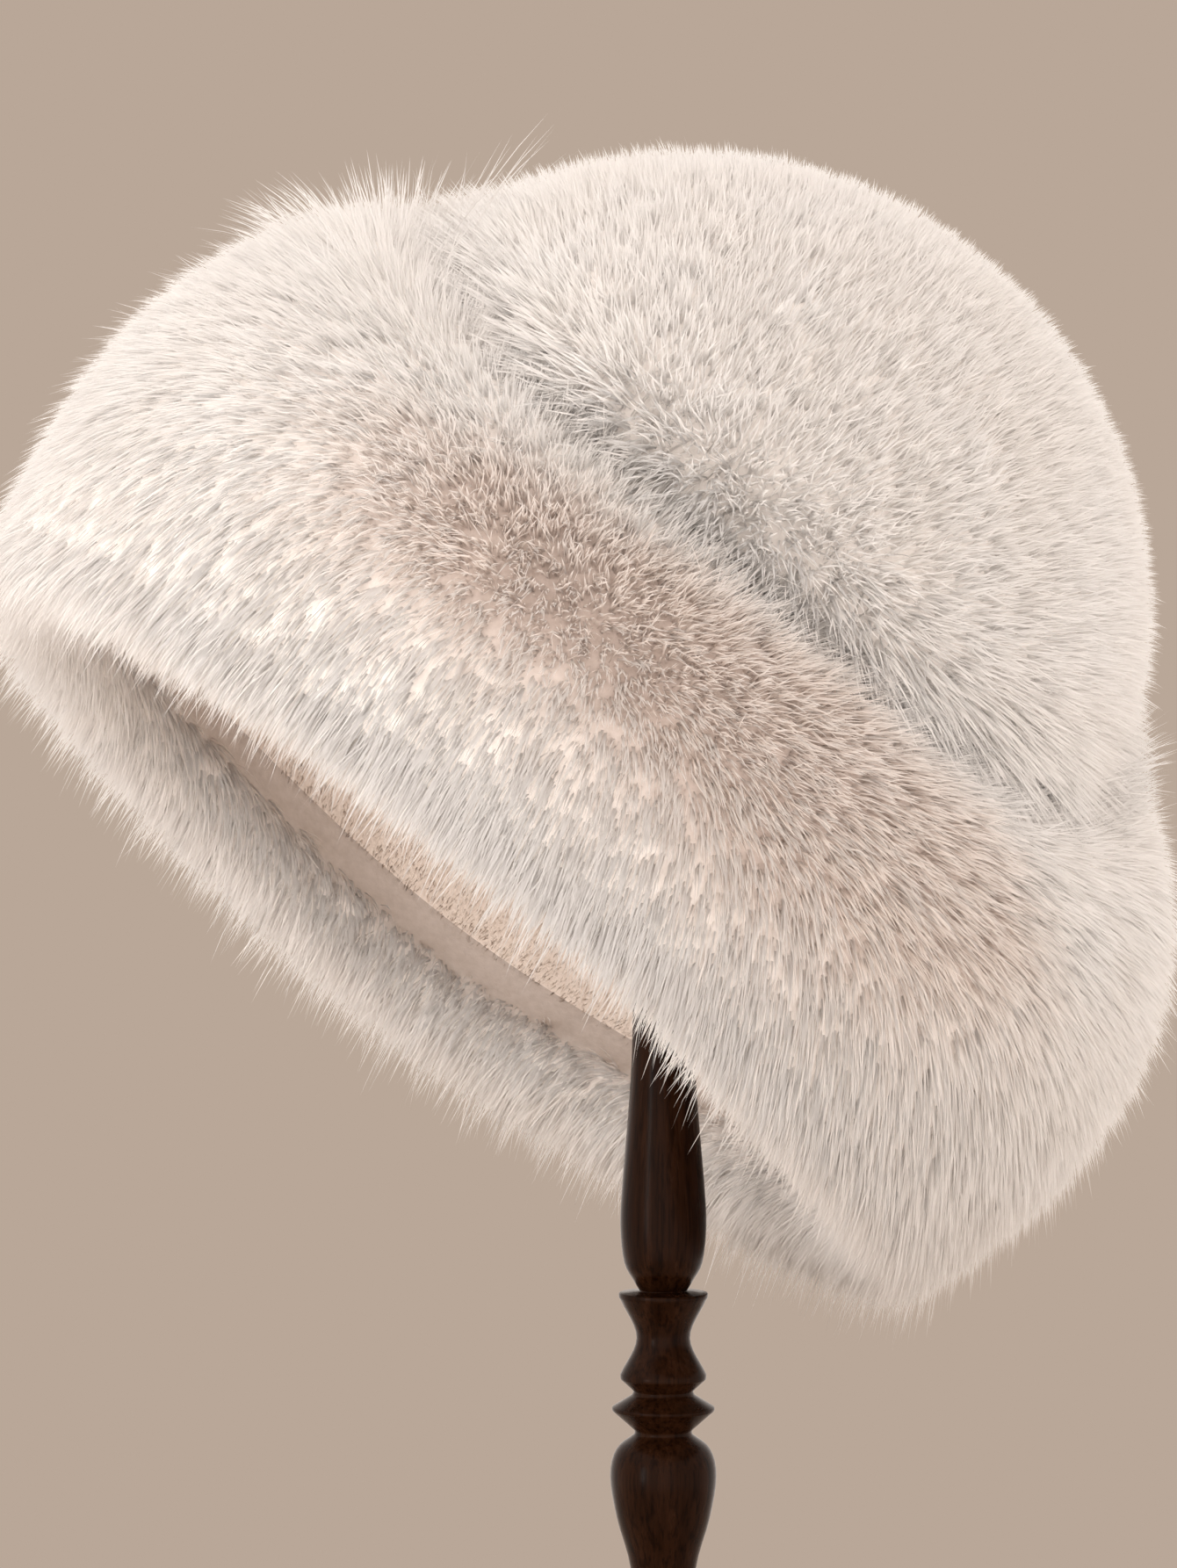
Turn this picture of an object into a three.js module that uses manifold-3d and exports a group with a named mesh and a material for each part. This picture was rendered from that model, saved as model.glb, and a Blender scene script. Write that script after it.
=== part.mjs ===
// A plush fur bucket hat, tipped over on the head of a turned wooden hat stand.
// Millimetres, +Z up. The origin is the centre of the foot's underside. The viewer is on the -Y side.
import * as THREE from "three";
import { mergeVertices } from "three/addons/utils/BufferGeometryUtils.js";
import Module from "manifold-3d";

const wasm = await Module();
wasm.setup();

// Clearance between pieces that touch, and between the soft pieces and the walls that carry them
const GAP = 0.3;
const SOFT_GAP = 0.5;

// How the hat sits: the centre of its head opening, its tip towards +X and its lean away from the viewer
const SEAT = { x: 14, y: 0, z: 344, tip: 39, lean: 9 };
const HAT_SIDES = 32;

// Crown wall: half of an ellipsoid over the wearer's head, with its hem tucked in below the brim's seam
const CROWN = { halfLength: 103, halfWidth: 94, rise: 104, centre: -8, wall: 2.5, tuck: 6, rows: 7 };
const OVAL = CROWN.halfWidth / CROWN.halfLength;

// Brim wall, one row for each section round the hat. Angle 0 is the low side, 90 the far side,
// 180 the high side and 270 the near side. Reaches are along the half length, heights from the seat.
const BRIM = { wall: 2.5, shoulderRows: 4, dropRows: 2, roundness: 0.56 };
const BRIM_SECTIONS = [
  { angle: 0, seam: 16, widest: 148, widestAt: -56, hem: 141, hemAt: -95 },
  { angle: 30, seam: -6, widest: 145, widestAt: -62, hem: 140, hemAt: -98 },
  { angle: 60, seam: -20, widest: 139, widestAt: -72, hem: 135, hemAt: -106 },
  { angle: 90, seam: -26, widest: 137, widestAt: -76, hem: 134, hemAt: -111 },
  { angle: 120, seam: -20, widest: 138, widestAt: -76, hem: 134, hemAt: -109 },
  { angle: 150, seam: -4, widest: 140, widestAt: -72, hem: 136, hemAt: -106 },
  { angle: 180, seam: 16, widest: 140, widestAt: -66, hem: 137, hemAt: -105 },
  { angle: 210, seam: -4, widest: 140, widestAt: -68, hem: 137, hemAt: -100 },
  { angle: 240, seam: -20, widest: 138, widestAt: -70, hem: 135, hemAt: -97 },
  { angle: 270, seam: -26, widest: 137, widestAt: -70, hem: 134, hemAt: -97 },
  { angle: 300, seam: -25, widest: 139, widestAt: -68, hem: 136, hemAt: -99 },
  { angle: 330, seam: -12, widest: 144, widestAt: -60, hem: 140, hemAt: -97 },
];

// Facing under the brim: a padded plush band that stops short of the hem
const FACING = { thick: 3, to: 0.93 };

// Depth of the fur's dense mass over the walls, and how the crown's and the brim's fur part at the seam
const FUR = {
  apex: 11,
  crownFoot: 14,
  shoulder: 14,
  side: 20,
  hem: 20,
  droop: 7,
  underHem: 8,
  wrap: 0.95,
  hemRows: 4,
  sideFrom: 0.6,
  footLift: 2.5,
  partingAngle: 27,
  partingDepth: 17,
};

// Locks fused to the dense mass, row by row: where the row lies, how many locks it has, and their size.
// The lift is the angle between a lock and the surface that it grows from.
const CROWN_LOCKS = [
  { along: 0.14, count: 5, length: 26, width: 11, lift: 14 },
  { along: 0.3, count: 9, length: 26, width: 11, lift: 13 },
  { along: 0.46, count: 12, length: 26, width: 11, lift: 12 },
  { along: 0.62, count: 14, length: 26, width: 11, lift: 12 },
  { along: 0.78, count: 16, length: 26, width: 11, lift: 12 },
];
const BRIM_LOCKS = [
  { along: 0.3, count: 18, length: 36, width: 15, lift: 14 },
  { along: 0.48, count: 18, length: 38, width: 16, lift: 14 },
  { along: 0.66, count: 18, length: 38, width: 16, lift: 14 },
  { along: 0.84, count: 20, length: 38, width: 15, lift: 14 },
  { along: 0.99, count: 28, length: 31, width: 11, lift: 10 },
];
const LOCK = { thickness: 0.24, sunk: 5, scatter: 0.16, turnBeat: 5, lengthBeat: 7 };

// Turned post, from the foot up. Each turning is a smooth run; a new one starts at a sharp edge.
const POST_SIDES = 20;
const POST_TURNINGS = [
  { name: "foot flare", rows: 2, knots: [{ z: 24.3, radius: 19 }, { z: 32, radius: 11.5 }, { z: 44, radius: 8 }] },
  { name: "foot bead", rows: 4, knots: [{ z: 46, radius: 8 }, { z: 51, radius: 12.2 }, { z: 56, radius: 8 }] },
  {
    name: "vase",
    rows: 7,
    knots: [
      { z: 62, radius: 7.2 },
      { z: 82, radius: 8.6 },
      { z: 96, radius: 12.4 },
      { z: 107, radius: 14.1 },
      { z: 114, radius: 12.4 },
      { z: 118, radius: 7.6 },
    ],
  },
  { name: "ring", rows: 1, knots: [{ z: 119, radius: 7.6 }, { z: 124.3, radius: 13.6 }] },
  { name: "ring top", rows: 1, knots: [{ z: 125.1, radius: 13.6 }, { z: 128.4, radius: 8.2 }] },
  { name: "spool foot", rows: 1, knots: [{ z: 129.4, radius: 7.9 }, { z: 132.6, radius: 11.4 }] },
  {
    name: "spool",
    rows: 4,
    knots: [{ z: 133.8, radius: 11.4 }, { z: 143.5, radius: 7.1 }, { z: 153.6, radius: 11.4 }],
  },
  { name: "spool lip", rows: 1, knots: [{ z: 154.2, radius: 11.8 }, { z: 155.4, radius: 11.8 }] },
  {
    name: "long taper",
    rows: 9,
    knots: [
      { z: 155.9, radius: 6.2 },
      { z: 158.8, radius: 8 },
      { z: 163.5, radius: 10.4 },
      { z: 173, radius: 11.4 },
      { z: 184, radius: 10.9 },
      { z: 203, radius: 9.3 },
      { z: 226, radius: 8.1 },
      { z: 290, radius: 7 },
      { z: 353, radius: 6.6 },
    ],
  },
];

// Rounded head that carries the crown from inside, and the round foot
const STAND_HEAD = { bottom: 353.3, flat: 22, radius: 55, centre: 381.7, browRows: 4, domeRows: 6, sides: 24 };
const STAND_FOOT = {
  radius: 88,
  chamfer: 2,
  side: 9,
  rim: 10,
  rimTop: 14,
  easeOut: 0.4,
  easeIn: 0.75,
  bossRadius: 24,
  height: 24,
  curveRows: 3,
  sides: 32,
};

// Finishes
const WHITE_FUR = new THREE.MeshStandardMaterial({ color: 0xeae0d8, roughness: 0.95, metalness: 0 });
const MARKED_FUR = new THREE.MeshStandardMaterial({ color: 0xd9c8bb, roughness: 0.95, metalness: 0 });
const PELT = new THREE.MeshStandardMaterial({ color: 0xcdb9a6, roughness: 0.85, metalness: 0 });
const PLUSH = new THREE.MeshStandardMaterial({ color: 0xcfb8a8, roughness: 0.95, metalness: 0 });
const DARK_WOOD = new THREE.MeshStandardMaterial({ color: 0x24140d, roughness: 0.3, metalness: 0 });

const radians = THREE.MathUtils.degToRad;
const lerp = THREE.MathUtils.lerp;

// The brim's named sizes at any angle, run smoothly through the table's rows and round again
const BRIM_COLUMNS = ["seam", "widest", "widestAt", "hem", "hemAt"];
const closedSections = [...BRIM_SECTIONS, { ...BRIM_SECTIONS[0], angle: 360 }];
const brimTrack = new THREE.CubicInterpolant(
  closedSections.map((row) => radians(row.angle)),
  closedSections.flatMap((row) => BRIM_COLUMNS.map((column) => row[column])),
  BRIM_COLUMNS.length,
);
brimTrack.settings = { endingStart: THREE.WrapAroundEnding, endingEnd: THREE.WrapAroundEnding };

function brimSizes(turn) {
  const values = [...brimTrack.evaluate(THREE.MathUtils.euclideanModulo(turn, 2 * Math.PI))];
  return Object.fromEntries(BRIM_COLUMNS.map((column, i) => [column, values[i]]));
}

// The polar angle from the crown's top at which its wall passes a height
function crownPolar(height) {
  return Math.acos((height - CROWN.centre) / CROWN.rise);
}

// A point of the crown's section, off the wall's outer face by a distance
function crownPoint(polar, offset) {
  const point = new THREE.Vector2(CROWN.halfLength * Math.sin(polar), CROWN.centre + CROWN.rise * Math.cos(polar));
  const normal = new THREE.Vector2(Math.sin(polar) / CROWN.halfLength, Math.cos(polar) / CROWN.rise).normalize();
  return point.addScaledVector(normal, offset);
}

// The brim's section as points and outward normals, from the seam to the hem
function brimSection(turn) {
  const { seam, widest, widestAt, hem, hemAt } = brimSizes(turn);
  const seamReach = Math.max(crownPoint(crownPolar(seam), 0).x, crownPoint(crownPolar(seam - BRIM.wall), 0).x);
  const start = new THREE.Vector2(seamReach + GAP, seam);
  const side = new THREE.Vector2(widest, widestAt);
  const shoulder = new THREE.CubicBezierCurve(
    start,
    new THREE.Vector2(lerp(start.x, side.x, BRIM.roundness), start.y),
    new THREE.Vector2(side.x, lerp(side.y, start.y, BRIM.roundness)),
    side,
  );
  const drop = new THREE.QuadraticBezierCurve(
    side,
    new THREE.Vector2(side.x, lerp(side.y, hemAt, 0.5)),
    new THREE.Vector2(hem, hemAt),
  );
  const stations = [];
  for (let row = 0; row <= BRIM.shoulderRows; row++) stations.push([shoulder, row / BRIM.shoulderRows]);
  for (let row = 1; row <= BRIM.dropRows; row++) stations.push([drop, row / BRIM.dropRows]);
  return stations.map(([curve, t]) => {
    const tangent = curve.getTangent(t);
    return { point: curve.getPoint(t), normal: new THREE.Vector2(-tangent.y, tangent.x) };
  });
}

function offsetPoint({ point, normal }, distance) {
  return point.clone().addScaledVector(normal, distance);
}

// A station anywhere along a section, between its own stations
function stationAt(section, along) {
  const place = THREE.MathUtils.clamp(along, 0, 1) * (section.length - 1);
  const before = Math.min(Math.floor(place), section.length - 2);
  const part = place - before;
  return {
    point: section[before].point.clone().lerp(section[before + 1].point, part),
    normal: section[before].normal.clone().lerp(section[before + 1].normal, part).normalize(),
  };
}

// Where the crown's and the brim's fur part: a line from the seam outwards
function partingLine(turn) {
  const root = brimSection(turn)[0].point;
  const way = new THREE.Vector2(Math.cos(radians(FUR.partingAngle)), Math.sin(radians(FUR.partingAngle)));
  return {
    root,
    outer: root.clone().addScaledVector(way, FUR.partingDepth),
    across: new THREE.Vector2(-way.y, way.x),
  };
}

// A closed body round the hat's axis: a lathe in which each side has a section of its own
function loftRound(sectionAt) {
  const rows = sectionAt(0).length;
  const lathe = new THREE.LatheGeometry(sectionAt(0), HAT_SIDES);
  const position = lathe.getAttribute("position");
  for (let side = 0; side <= HAT_SIDES; side++) {
    const turn = ((side % HAT_SIDES) * 2 * Math.PI) / HAT_SIDES;
    sectionAt(turn).forEach((point, row) => {
      const { x, y, z } = onHat(turn, point);
      position.setXYZ(side * rows + row, x, y, z);
    });
  }
  return splitOnShorterDiagonal(lathe, rows);
}

// Splits every four-cornered facet along its shorter diagonal, so that faces that lie along each other match
function splitOnShorterDiagonal(lathe, rows) {
  const position = lathe.getAttribute("position");
  const corner = (index) => new THREE.Vector3().fromBufferAttribute(position, index);
  const faces = [];
  for (let side = 0; side < HAT_SIDES; side++) {
    for (let row = 0; row < rows - 1; row++) {
      const a = side * rows + row;
      const b = a + rows;
      const c = b + 1;
      const d = a + 1;
      const split = corner(b).distanceTo(corner(d)) < corner(a).distanceTo(corner(c));
      faces.push(...(split ? [a, b, d, c, d, b] : [a, b, c, a, c, d]));
    }
  }
  lathe.setIndex(faces);
  return lathe;
}

// A section's point at a turn, as a place on the hat
function onHat(turn, point) {
  return new THREE.Vector3(point.x * Math.cos(turn), point.x * OVAL * Math.sin(turn), point.y);
}

// The crown's rows, as polar angles from its top down to its tucked hem
function crownRows(turn) {
  const lowest = crownPolar(brimSizes(turn).seam - CROWN.tuck);
  return [...Array(CROWN.rows + 1).keys()].map((row) => (lowest * row) / CROWN.rows);
}

function crownWallSection(turn) {
  const rows = crownRows(turn);
  const inner = rows.map((polar) => crownPoint(polar, -CROWN.wall));
  const outer = rows.map((polar) => crownPoint(polar, 0));
  return [...inner, ...outer.reverse()];
}

function brimWallSection(turn) {
  const section = brimSection(turn);
  const outer = section.map((station) => offsetPoint(station, 0));
  const inner = section.map((station) => offsetPoint(station, -BRIM.wall));
  return [...inner, ...outer.reverse(), inner[0].clone()];
}

function facingSection(turn) {
  const section = brimSection(turn);
  const stations = [...section.slice(1, -1), stationAt(section, FACING.to)];
  const top = stations.map((station) => offsetPoint(station, -BRIM.wall - SOFT_GAP));
  const under = stations.map((station) => offsetPoint(station, -BRIM.wall - SOFT_GAP - FACING.thick));
  return [...under, ...top.reverse(), under[0].clone()];
}

// Depth of the crown's fur over its wall, from the top down
function crownFurDepth(part) {
  return lerp(FUR.apex, FUR.crownFoot, part);
}

function crownFurSection(turn) {
  const parting = partingLine(turn);
  const rows = crownRows(turn).slice(0, -1);
  const foot = crownPoint(crownPolar(parting.root.y + FUR.footLift), SOFT_GAP);
  const inner = rows.map((polar) => crownPoint(polar, SOFT_GAP));
  const outer = rows.map((_, row) => crownFurPoint(turn, row / rows.length));
  const edge = parting.outer.clone().addScaledVector(parting.across, GAP);
  return [...inner, foot, edge, ...outer.reverse()];
}

// The fur's outer face on the crown, from its top to where it meets the brim's fur
function crownFurPoint(turn, part) {
  return crownPoint(part * crownPolar(partingLine(turn).outer.y), crownFurDepth(part));
}

// Depth of the brim's fur over its wall, from the seam to the hem
function brimFurDepth(along) {
  const shoulder = lerp(FUR.shoulder, FUR.side, THREE.MathUtils.smoothstep(along, 0, FUR.sideFrom));
  return along < FUR.sideFrom ? shoulder : lerp(FUR.side, FUR.hem, (along - FUR.sideFrom) / (1 - FUR.sideFrom));
}

function brimFurSection(turn) {
  const section = brimSection(turn);
  const parting = partingLine(turn);
  const last = section.length - 1;
  const inner = section.map((station) => offsetPoint(station, SOFT_GAP));
  const outer = section.slice(1).map((station, i) => offsetPoint(station, brimFurDepth((i + 1) / last)));
  const edge = parting.outer.clone().addScaledVector(parting.across, -GAP);
  const hem = section[last];
  const middle = offsetPoint(hem, -BRIM.wall / 2);
  const out = Math.atan2(hem.normal.y, hem.normal.x);
  const round = (angle, reach) =>
    middle.clone().add(new THREE.Vector2(Math.cos(out - angle) * reach, Math.sin(out - angle) * reach));
  const fan = [];
  for (let row = 1; row < FUR.hemRows; row++) {
    const part = row / FUR.hemRows;
    const reach = lerp(FUR.hem, FUR.underHem, part * part) + FUR.droop * Math.sin(part * Math.PI);
    fan.push(round(part * Math.PI, reach + BRIM.wall / 2));
  }
  const tipOut = offsetPoint(hem, SOFT_GAP).addScaledVector(downSection(hem), SOFT_GAP);
  const tipIn = offsetPoint(hem, -BRIM.wall - SOFT_GAP).addScaledVector(downSection(hem), SOFT_GAP);
  const wrapped = stationAt(section, FUR.wrap);
  const wrapRoot = offsetPoint(wrapped, -BRIM.wall - SOFT_GAP);
  const wrapFace = offsetPoint(wrapped, -BRIM.wall - FUR.underHem);
  inner[last] = tipOut;
  return [...inner, tipIn, wrapRoot, wrapFace, ...fan.reverse(), ...outer.reverse(), edge, inner[0].clone()];
}

// The way along a section, towards the hem
function downSection({ normal }) {
  return new THREE.Vector2(normal.y, -normal.x);
}

// A place on a furred surface with its outward normal and the way that its locks lean
function furPlace(surface, turn, part, towards) {
  const step = 0.01;
  const place = surface(turn, part);
  const round = surface(turn + step, part).sub(surface(turn - step, part));
  const down = surface(turn, part + step).sub(surface(turn, part - step)).normalize();
  const normal = new THREE.Vector3().crossVectors(down, round).normalize();
  return { place, normal, lean: down.multiplyScalar(towards) };
}

function crownFurSurface(turn, part) {
  return onHat(turn, crownFurPoint(turn, part));
}

function brimFurSurface(turn, part) {
  return onHat(turn, offsetPoint(stationAt(brimSection(turn), part), brimFurDepth(part)));
}

// One lock: a flat leaf with its root sunk in the fur's mass
function lockGeometry({ place, normal, lean }, { length, width, lift }) {
  const way = lean.clone().multiplyScalar(Math.cos(radians(lift)));
  way.addScaledVector(normal, Math.sin(radians(lift))).normalize();
  const across = new THREE.Vector3().crossVectors(way, normal).normalize();
  const flat = new THREE.Vector3().crossVectors(across, way);
  const leaf = new THREE.OctahedronGeometry(1);
  leaf.scale(width, length / 2, width * LOCK.thickness);
  leaf.translate(0, length / 2, 0);
  const root = place.clone().addScaledVector(normal, -LOCK.sunk);
  return leaf.applyMatrix4(new THREE.Matrix4().makeBasis(across, way, flat).setPosition(root));
}

function solidOf(geometry) {
  const bare = geometry.clone();
  bare.deleteAttribute("normal");
  bare.deleteAttribute("uv");
  const merged = mergeVertices(bare, 1e-4);
  return new wasm.Manifold(
    new wasm.Mesh({
      numProp: 3,
      vertProperties: merged.getAttribute("position").array,
      triVerts: new Uint32Array(merged.index.array),
    }),
  );
}

function geometryOf(solid) {
  const mesh = solid.getMesh();
  const geometry = new THREE.BufferGeometry();
  geometry.setAttribute("position", new THREE.BufferAttribute(mesh.vertProperties, 3));
  geometry.setIndex(new THREE.BufferAttribute(mesh.triVerts, 1));
  geometry.computeVertexNormals();
  return geometry;
}

// The fur's mass with its rows of locks fused to it, each row staggered against the last
function furWithLocks(mass, surface, rows, towards) {
  let fur = solidOf(mass);
  rows.forEach((row, index) => {
    for (let i = 0; i < row.count; i++) {
      const stagger = (index % 2) / 2 + LOCK.scatter * Math.sin(LOCK.turnBeat * i + index);
      const turn = ((i + stagger) * 2 * Math.PI) / row.count;
      const length = row.length * (1 + LOCK.scatter * Math.sin(LOCK.lengthBeat * i + index));
      fur = fur.add(solidOf(lockGeometry(furPlace(surface, turn, row.along, towards), { ...row, length })));
    }
  });
  return geometryOf(fur);
}

// The post's outline, run smoothly through each turning's knots
function postProfile() {
  const outline = POST_TURNINGS.flatMap(({ rows, knots }) => {
    const points = knots.map(({ z, radius }) => new THREE.Vector2(radius, z));
    return new THREE.SplineCurve(points).getPoints(rows);
  });
  const ends = [outline[0], outline[outline.length - 1]].map((point) => new THREE.Vector2(0, point.y));
  return [ends[0], ...outline, ends[1]];
}

// The head's outline: a flat underside, a rounded brow and a half-round dome
function headProfile() {
  const { bottom, flat, radius, centre, browRows, domeRows } = STAND_HEAD;
  const brow = new THREE.EllipseCurve(flat, centre, radius - flat, centre - bottom, -Math.PI / 2, 0);
  const dome = new THREE.EllipseCurve(0, centre, radius, radius, 0, Math.PI / 2);
  const outline = [new THREE.Vector2(0, bottom), ...brow.getPoints(browRows), ...dome.getPoints(domeRows).slice(1)];
  outline[outline.length - 1].x = 0;
  return outline;
}

// The foot's outline: a rounded rim, then a sweep up to the boss that the post stands on
function footProfile() {
  const { radius, chamfer, side, rim, rimTop, easeOut, easeIn, bossRadius, height, curveRows } = STAND_FOOT;
  const edge = radius - rim;
  const outline = new THREE.Path();
  outline.moveTo(0, 0);
  outline.lineTo(radius - chamfer, 0);
  outline.lineTo(radius, chamfer);
  outline.lineTo(radius, side);
  outline.quadraticCurveTo(radius, rimTop, edge, rimTop);
  outline.bezierCurveTo(
    lerp(edge, bossRadius, easeOut),
    rimTop,
    lerp(edge, bossRadius, easeIn),
    height,
    bossRadius,
    height,
  );
  outline.lineTo(0, height);
  return outline.getPoints(curveRows);
}

function turned(profile, sides) {
  return new THREE.LatheGeometry(profile, sides).rotateX(Math.PI / 2);
}

function piece(name, geometry, material) {
  const mesh = new THREE.Mesh(geometry, material);
  mesh.name = name;
  return mesh;
}

function hat() {
  const upright = new THREE.Group();
  upright.add(
    piece("crown_wall", loftRound(crownWallSection), PELT),
    piece("brim_wall", loftRound(brimWallSection), PELT),
    piece("brim_facing", loftRound(facingSection), PLUSH),
    piece("crown_fur", furWithLocks(loftRound(crownFurSection), crownFurSurface, CROWN_LOCKS, -1), WHITE_FUR),
    piece("brim_fur", furWithLocks(loftRound(brimFurSection), brimFurSurface, BRIM_LOCKS, 1), MARKED_FUR),
  );
  upright.rotation.x = -radians(SEAT.lean);
  const tipped = new THREE.Group();
  tipped.add(upright);
  tipped.rotation.y = radians(SEAT.tip);
  tipped.position.set(SEAT.x, SEAT.y, SEAT.z);
  return tipped;
}

function stand() {
  const group = new THREE.Group();
  group.add(
    piece("stand_head", turned(headProfile(), STAND_HEAD.sides), DARK_WOOD),
    piece("stand_post", turned(postProfile(), POST_SIDES), DARK_WOOD),
    piece("stand_foot", turned(footProfile(), STAND_FOOT.sides), DARK_WOOD),
  );
  return group;
}

const part = new THREE.Group();
part.add(hat(), stand());

export default part;
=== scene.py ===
"""Looks of a plush fur bucket hat, tipped over on the head of a turned wooden hat stand.

Metres, +Z up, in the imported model's frame. The viewer of the photograph is on the -Y side.
The hat's own frame has its head opening at the origin and the crown's top along +Z.
"""

import logging
import math
from dataclasses import dataclass, field
from enum import Enum
from typing import NamedTuple

import bmesh
import bpy
import numpy as np
from mathutils import Matrix, Vector
from mathutils.kdtree import KDTree


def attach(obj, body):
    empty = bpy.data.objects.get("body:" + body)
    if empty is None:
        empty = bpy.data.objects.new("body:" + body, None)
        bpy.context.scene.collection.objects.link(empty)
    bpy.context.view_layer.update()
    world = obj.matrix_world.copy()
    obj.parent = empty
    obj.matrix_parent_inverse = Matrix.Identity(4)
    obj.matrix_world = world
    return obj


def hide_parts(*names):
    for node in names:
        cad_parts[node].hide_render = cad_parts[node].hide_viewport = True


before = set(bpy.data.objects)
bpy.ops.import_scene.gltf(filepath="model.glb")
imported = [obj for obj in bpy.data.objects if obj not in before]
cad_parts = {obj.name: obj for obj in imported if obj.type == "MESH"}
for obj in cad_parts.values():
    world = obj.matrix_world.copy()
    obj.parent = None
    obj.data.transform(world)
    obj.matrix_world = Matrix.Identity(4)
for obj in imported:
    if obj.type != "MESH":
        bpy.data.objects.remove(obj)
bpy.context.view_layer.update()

LOG = logging.getLogger("fur_hat")
BAKE_UV = "OFBake"
MERGE = 0.00002
TURN = 2.0 * math.pi
WHITE = (1.0, 1.0, 1.0)
Array = np.ndarray
Colour = tuple[float, float, float]
Span = tuple[float, float]
Series = tuple[float, ...]
Stops = tuple[tuple[float, Colour], ...]
Outline = list[Span]
Body = bpy.types.Object
Socket = bpy.types.NodeSocket


class Slot(Enum):
    """The record's material slots."""

    PELT = "pelt"
    PLUSH_FACING = "plush_facing"
    WHITE_FUR = "white_fur"
    # The marking attribute carries the taupe marking and the painted shade under the brim's hem.
    MARKED_FUR = "marked_fur"
    DARK_WOOD = "dark_wood"


class Trait(Enum):
    """Attributes that the fur's meshes carry and its finish reads."""

    REACH = "reach"
    MARKING_AND_SHADE = "marking"
    SHADE = "strand_shade"
    SURFACE = "surface_normal"


def smoothstep(value: Array, low: float, high: float) -> Array:
    """A smooth run from 0 at low to 1 at high."""
    part = np.clip((value - low) / (high - low), 0.0, 1.0)
    return part * part * (3.0 - 2.0 * part)


def window(value: Array, rise: tuple[Array, Array], fall: tuple[Array, Array]) -> Array:
    """A smooth run from 0 up to 1 over the rise, and down to 0 again over the fall."""
    return smoothstep(value, *rise) * (1.0 - smoothstep(value, *fall))


def degrees_of(turn: Array) -> Array:
    """The turns in degrees, from 0 to 360."""
    return np.degrees(np.mod(turn, TURN))


def mixed(start: Array, end: Array, part: Array) -> Array:
    """The value at a part of the way from start to end."""
    return start + (end - start) * part


def unit(vectors: Array) -> Array:
    """The vectors at length 1."""
    return vectors / np.maximum(np.linalg.norm(vectors, axis=-1, keepdims=True), 1e-12)


def bezier(controls: tuple[Array, ...], part: Array) -> Array:
    """A Bezier curve's value at a part of its way.

    Args:
        controls: the values that steer the curve.
        part: how far along it is, from 0 to 1.

    Returns:
        The value there.
    """
    while len(controls) > 1:
        controls = tuple(mixed(start, end, part) for start, end in zip(controls, controls[1:]))
    return controls[0]


def spline(before: Array, start: Array, end: Array, after: Array, part: Array) -> Array:
    """A smooth run through values.

    Args:
        before: the value before the start.
        start: the value at which the run starts.
        end: the value at which it ends.
        after: the value after the end.
        part: how far along it is, from 0 to 1.

    Returns:
        The value there.
    """
    square = 2.0 * before - 5.0 * start + 4.0 * end - after
    cube = 3.0 * start - before - 3.0 * end + after
    return start + 0.5 * part * (end - before + part * (square + part * cube))


def linked(name: str, data: bpy.types.ID) -> Body:
    """Makes an object of its data, in the scene.

    Args:
        name: the object's name.
        data: its mesh, camera or light.

    Returns:
        The object.
    """
    body = bpy.data.objects.new(name, data)
    bpy.context.scene.collection.objects.link(body)
    return body


def meshed(name: str, shape: bmesh.types.BMesh) -> bpy.types.Mesh:
    """Makes a smooth mesh of a shape, and frees the shape.

    Args:
        name: the mesh's name.
        shape: the shape.

    Returns:
        The mesh.
    """
    for face in shape.faces:
        face.smooth = True
    mesh = bpy.data.meshes.new(name)
    shape.to_mesh(mesh)
    shape.free()
    return mesh


class BrimRow(NamedTuple):
    """One section of the brim's wall, in metres: reaches along the half length, heights from the seat."""

    seam: float
    widest: float
    widest_at: float
    hem: float
    hem_at: float


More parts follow.
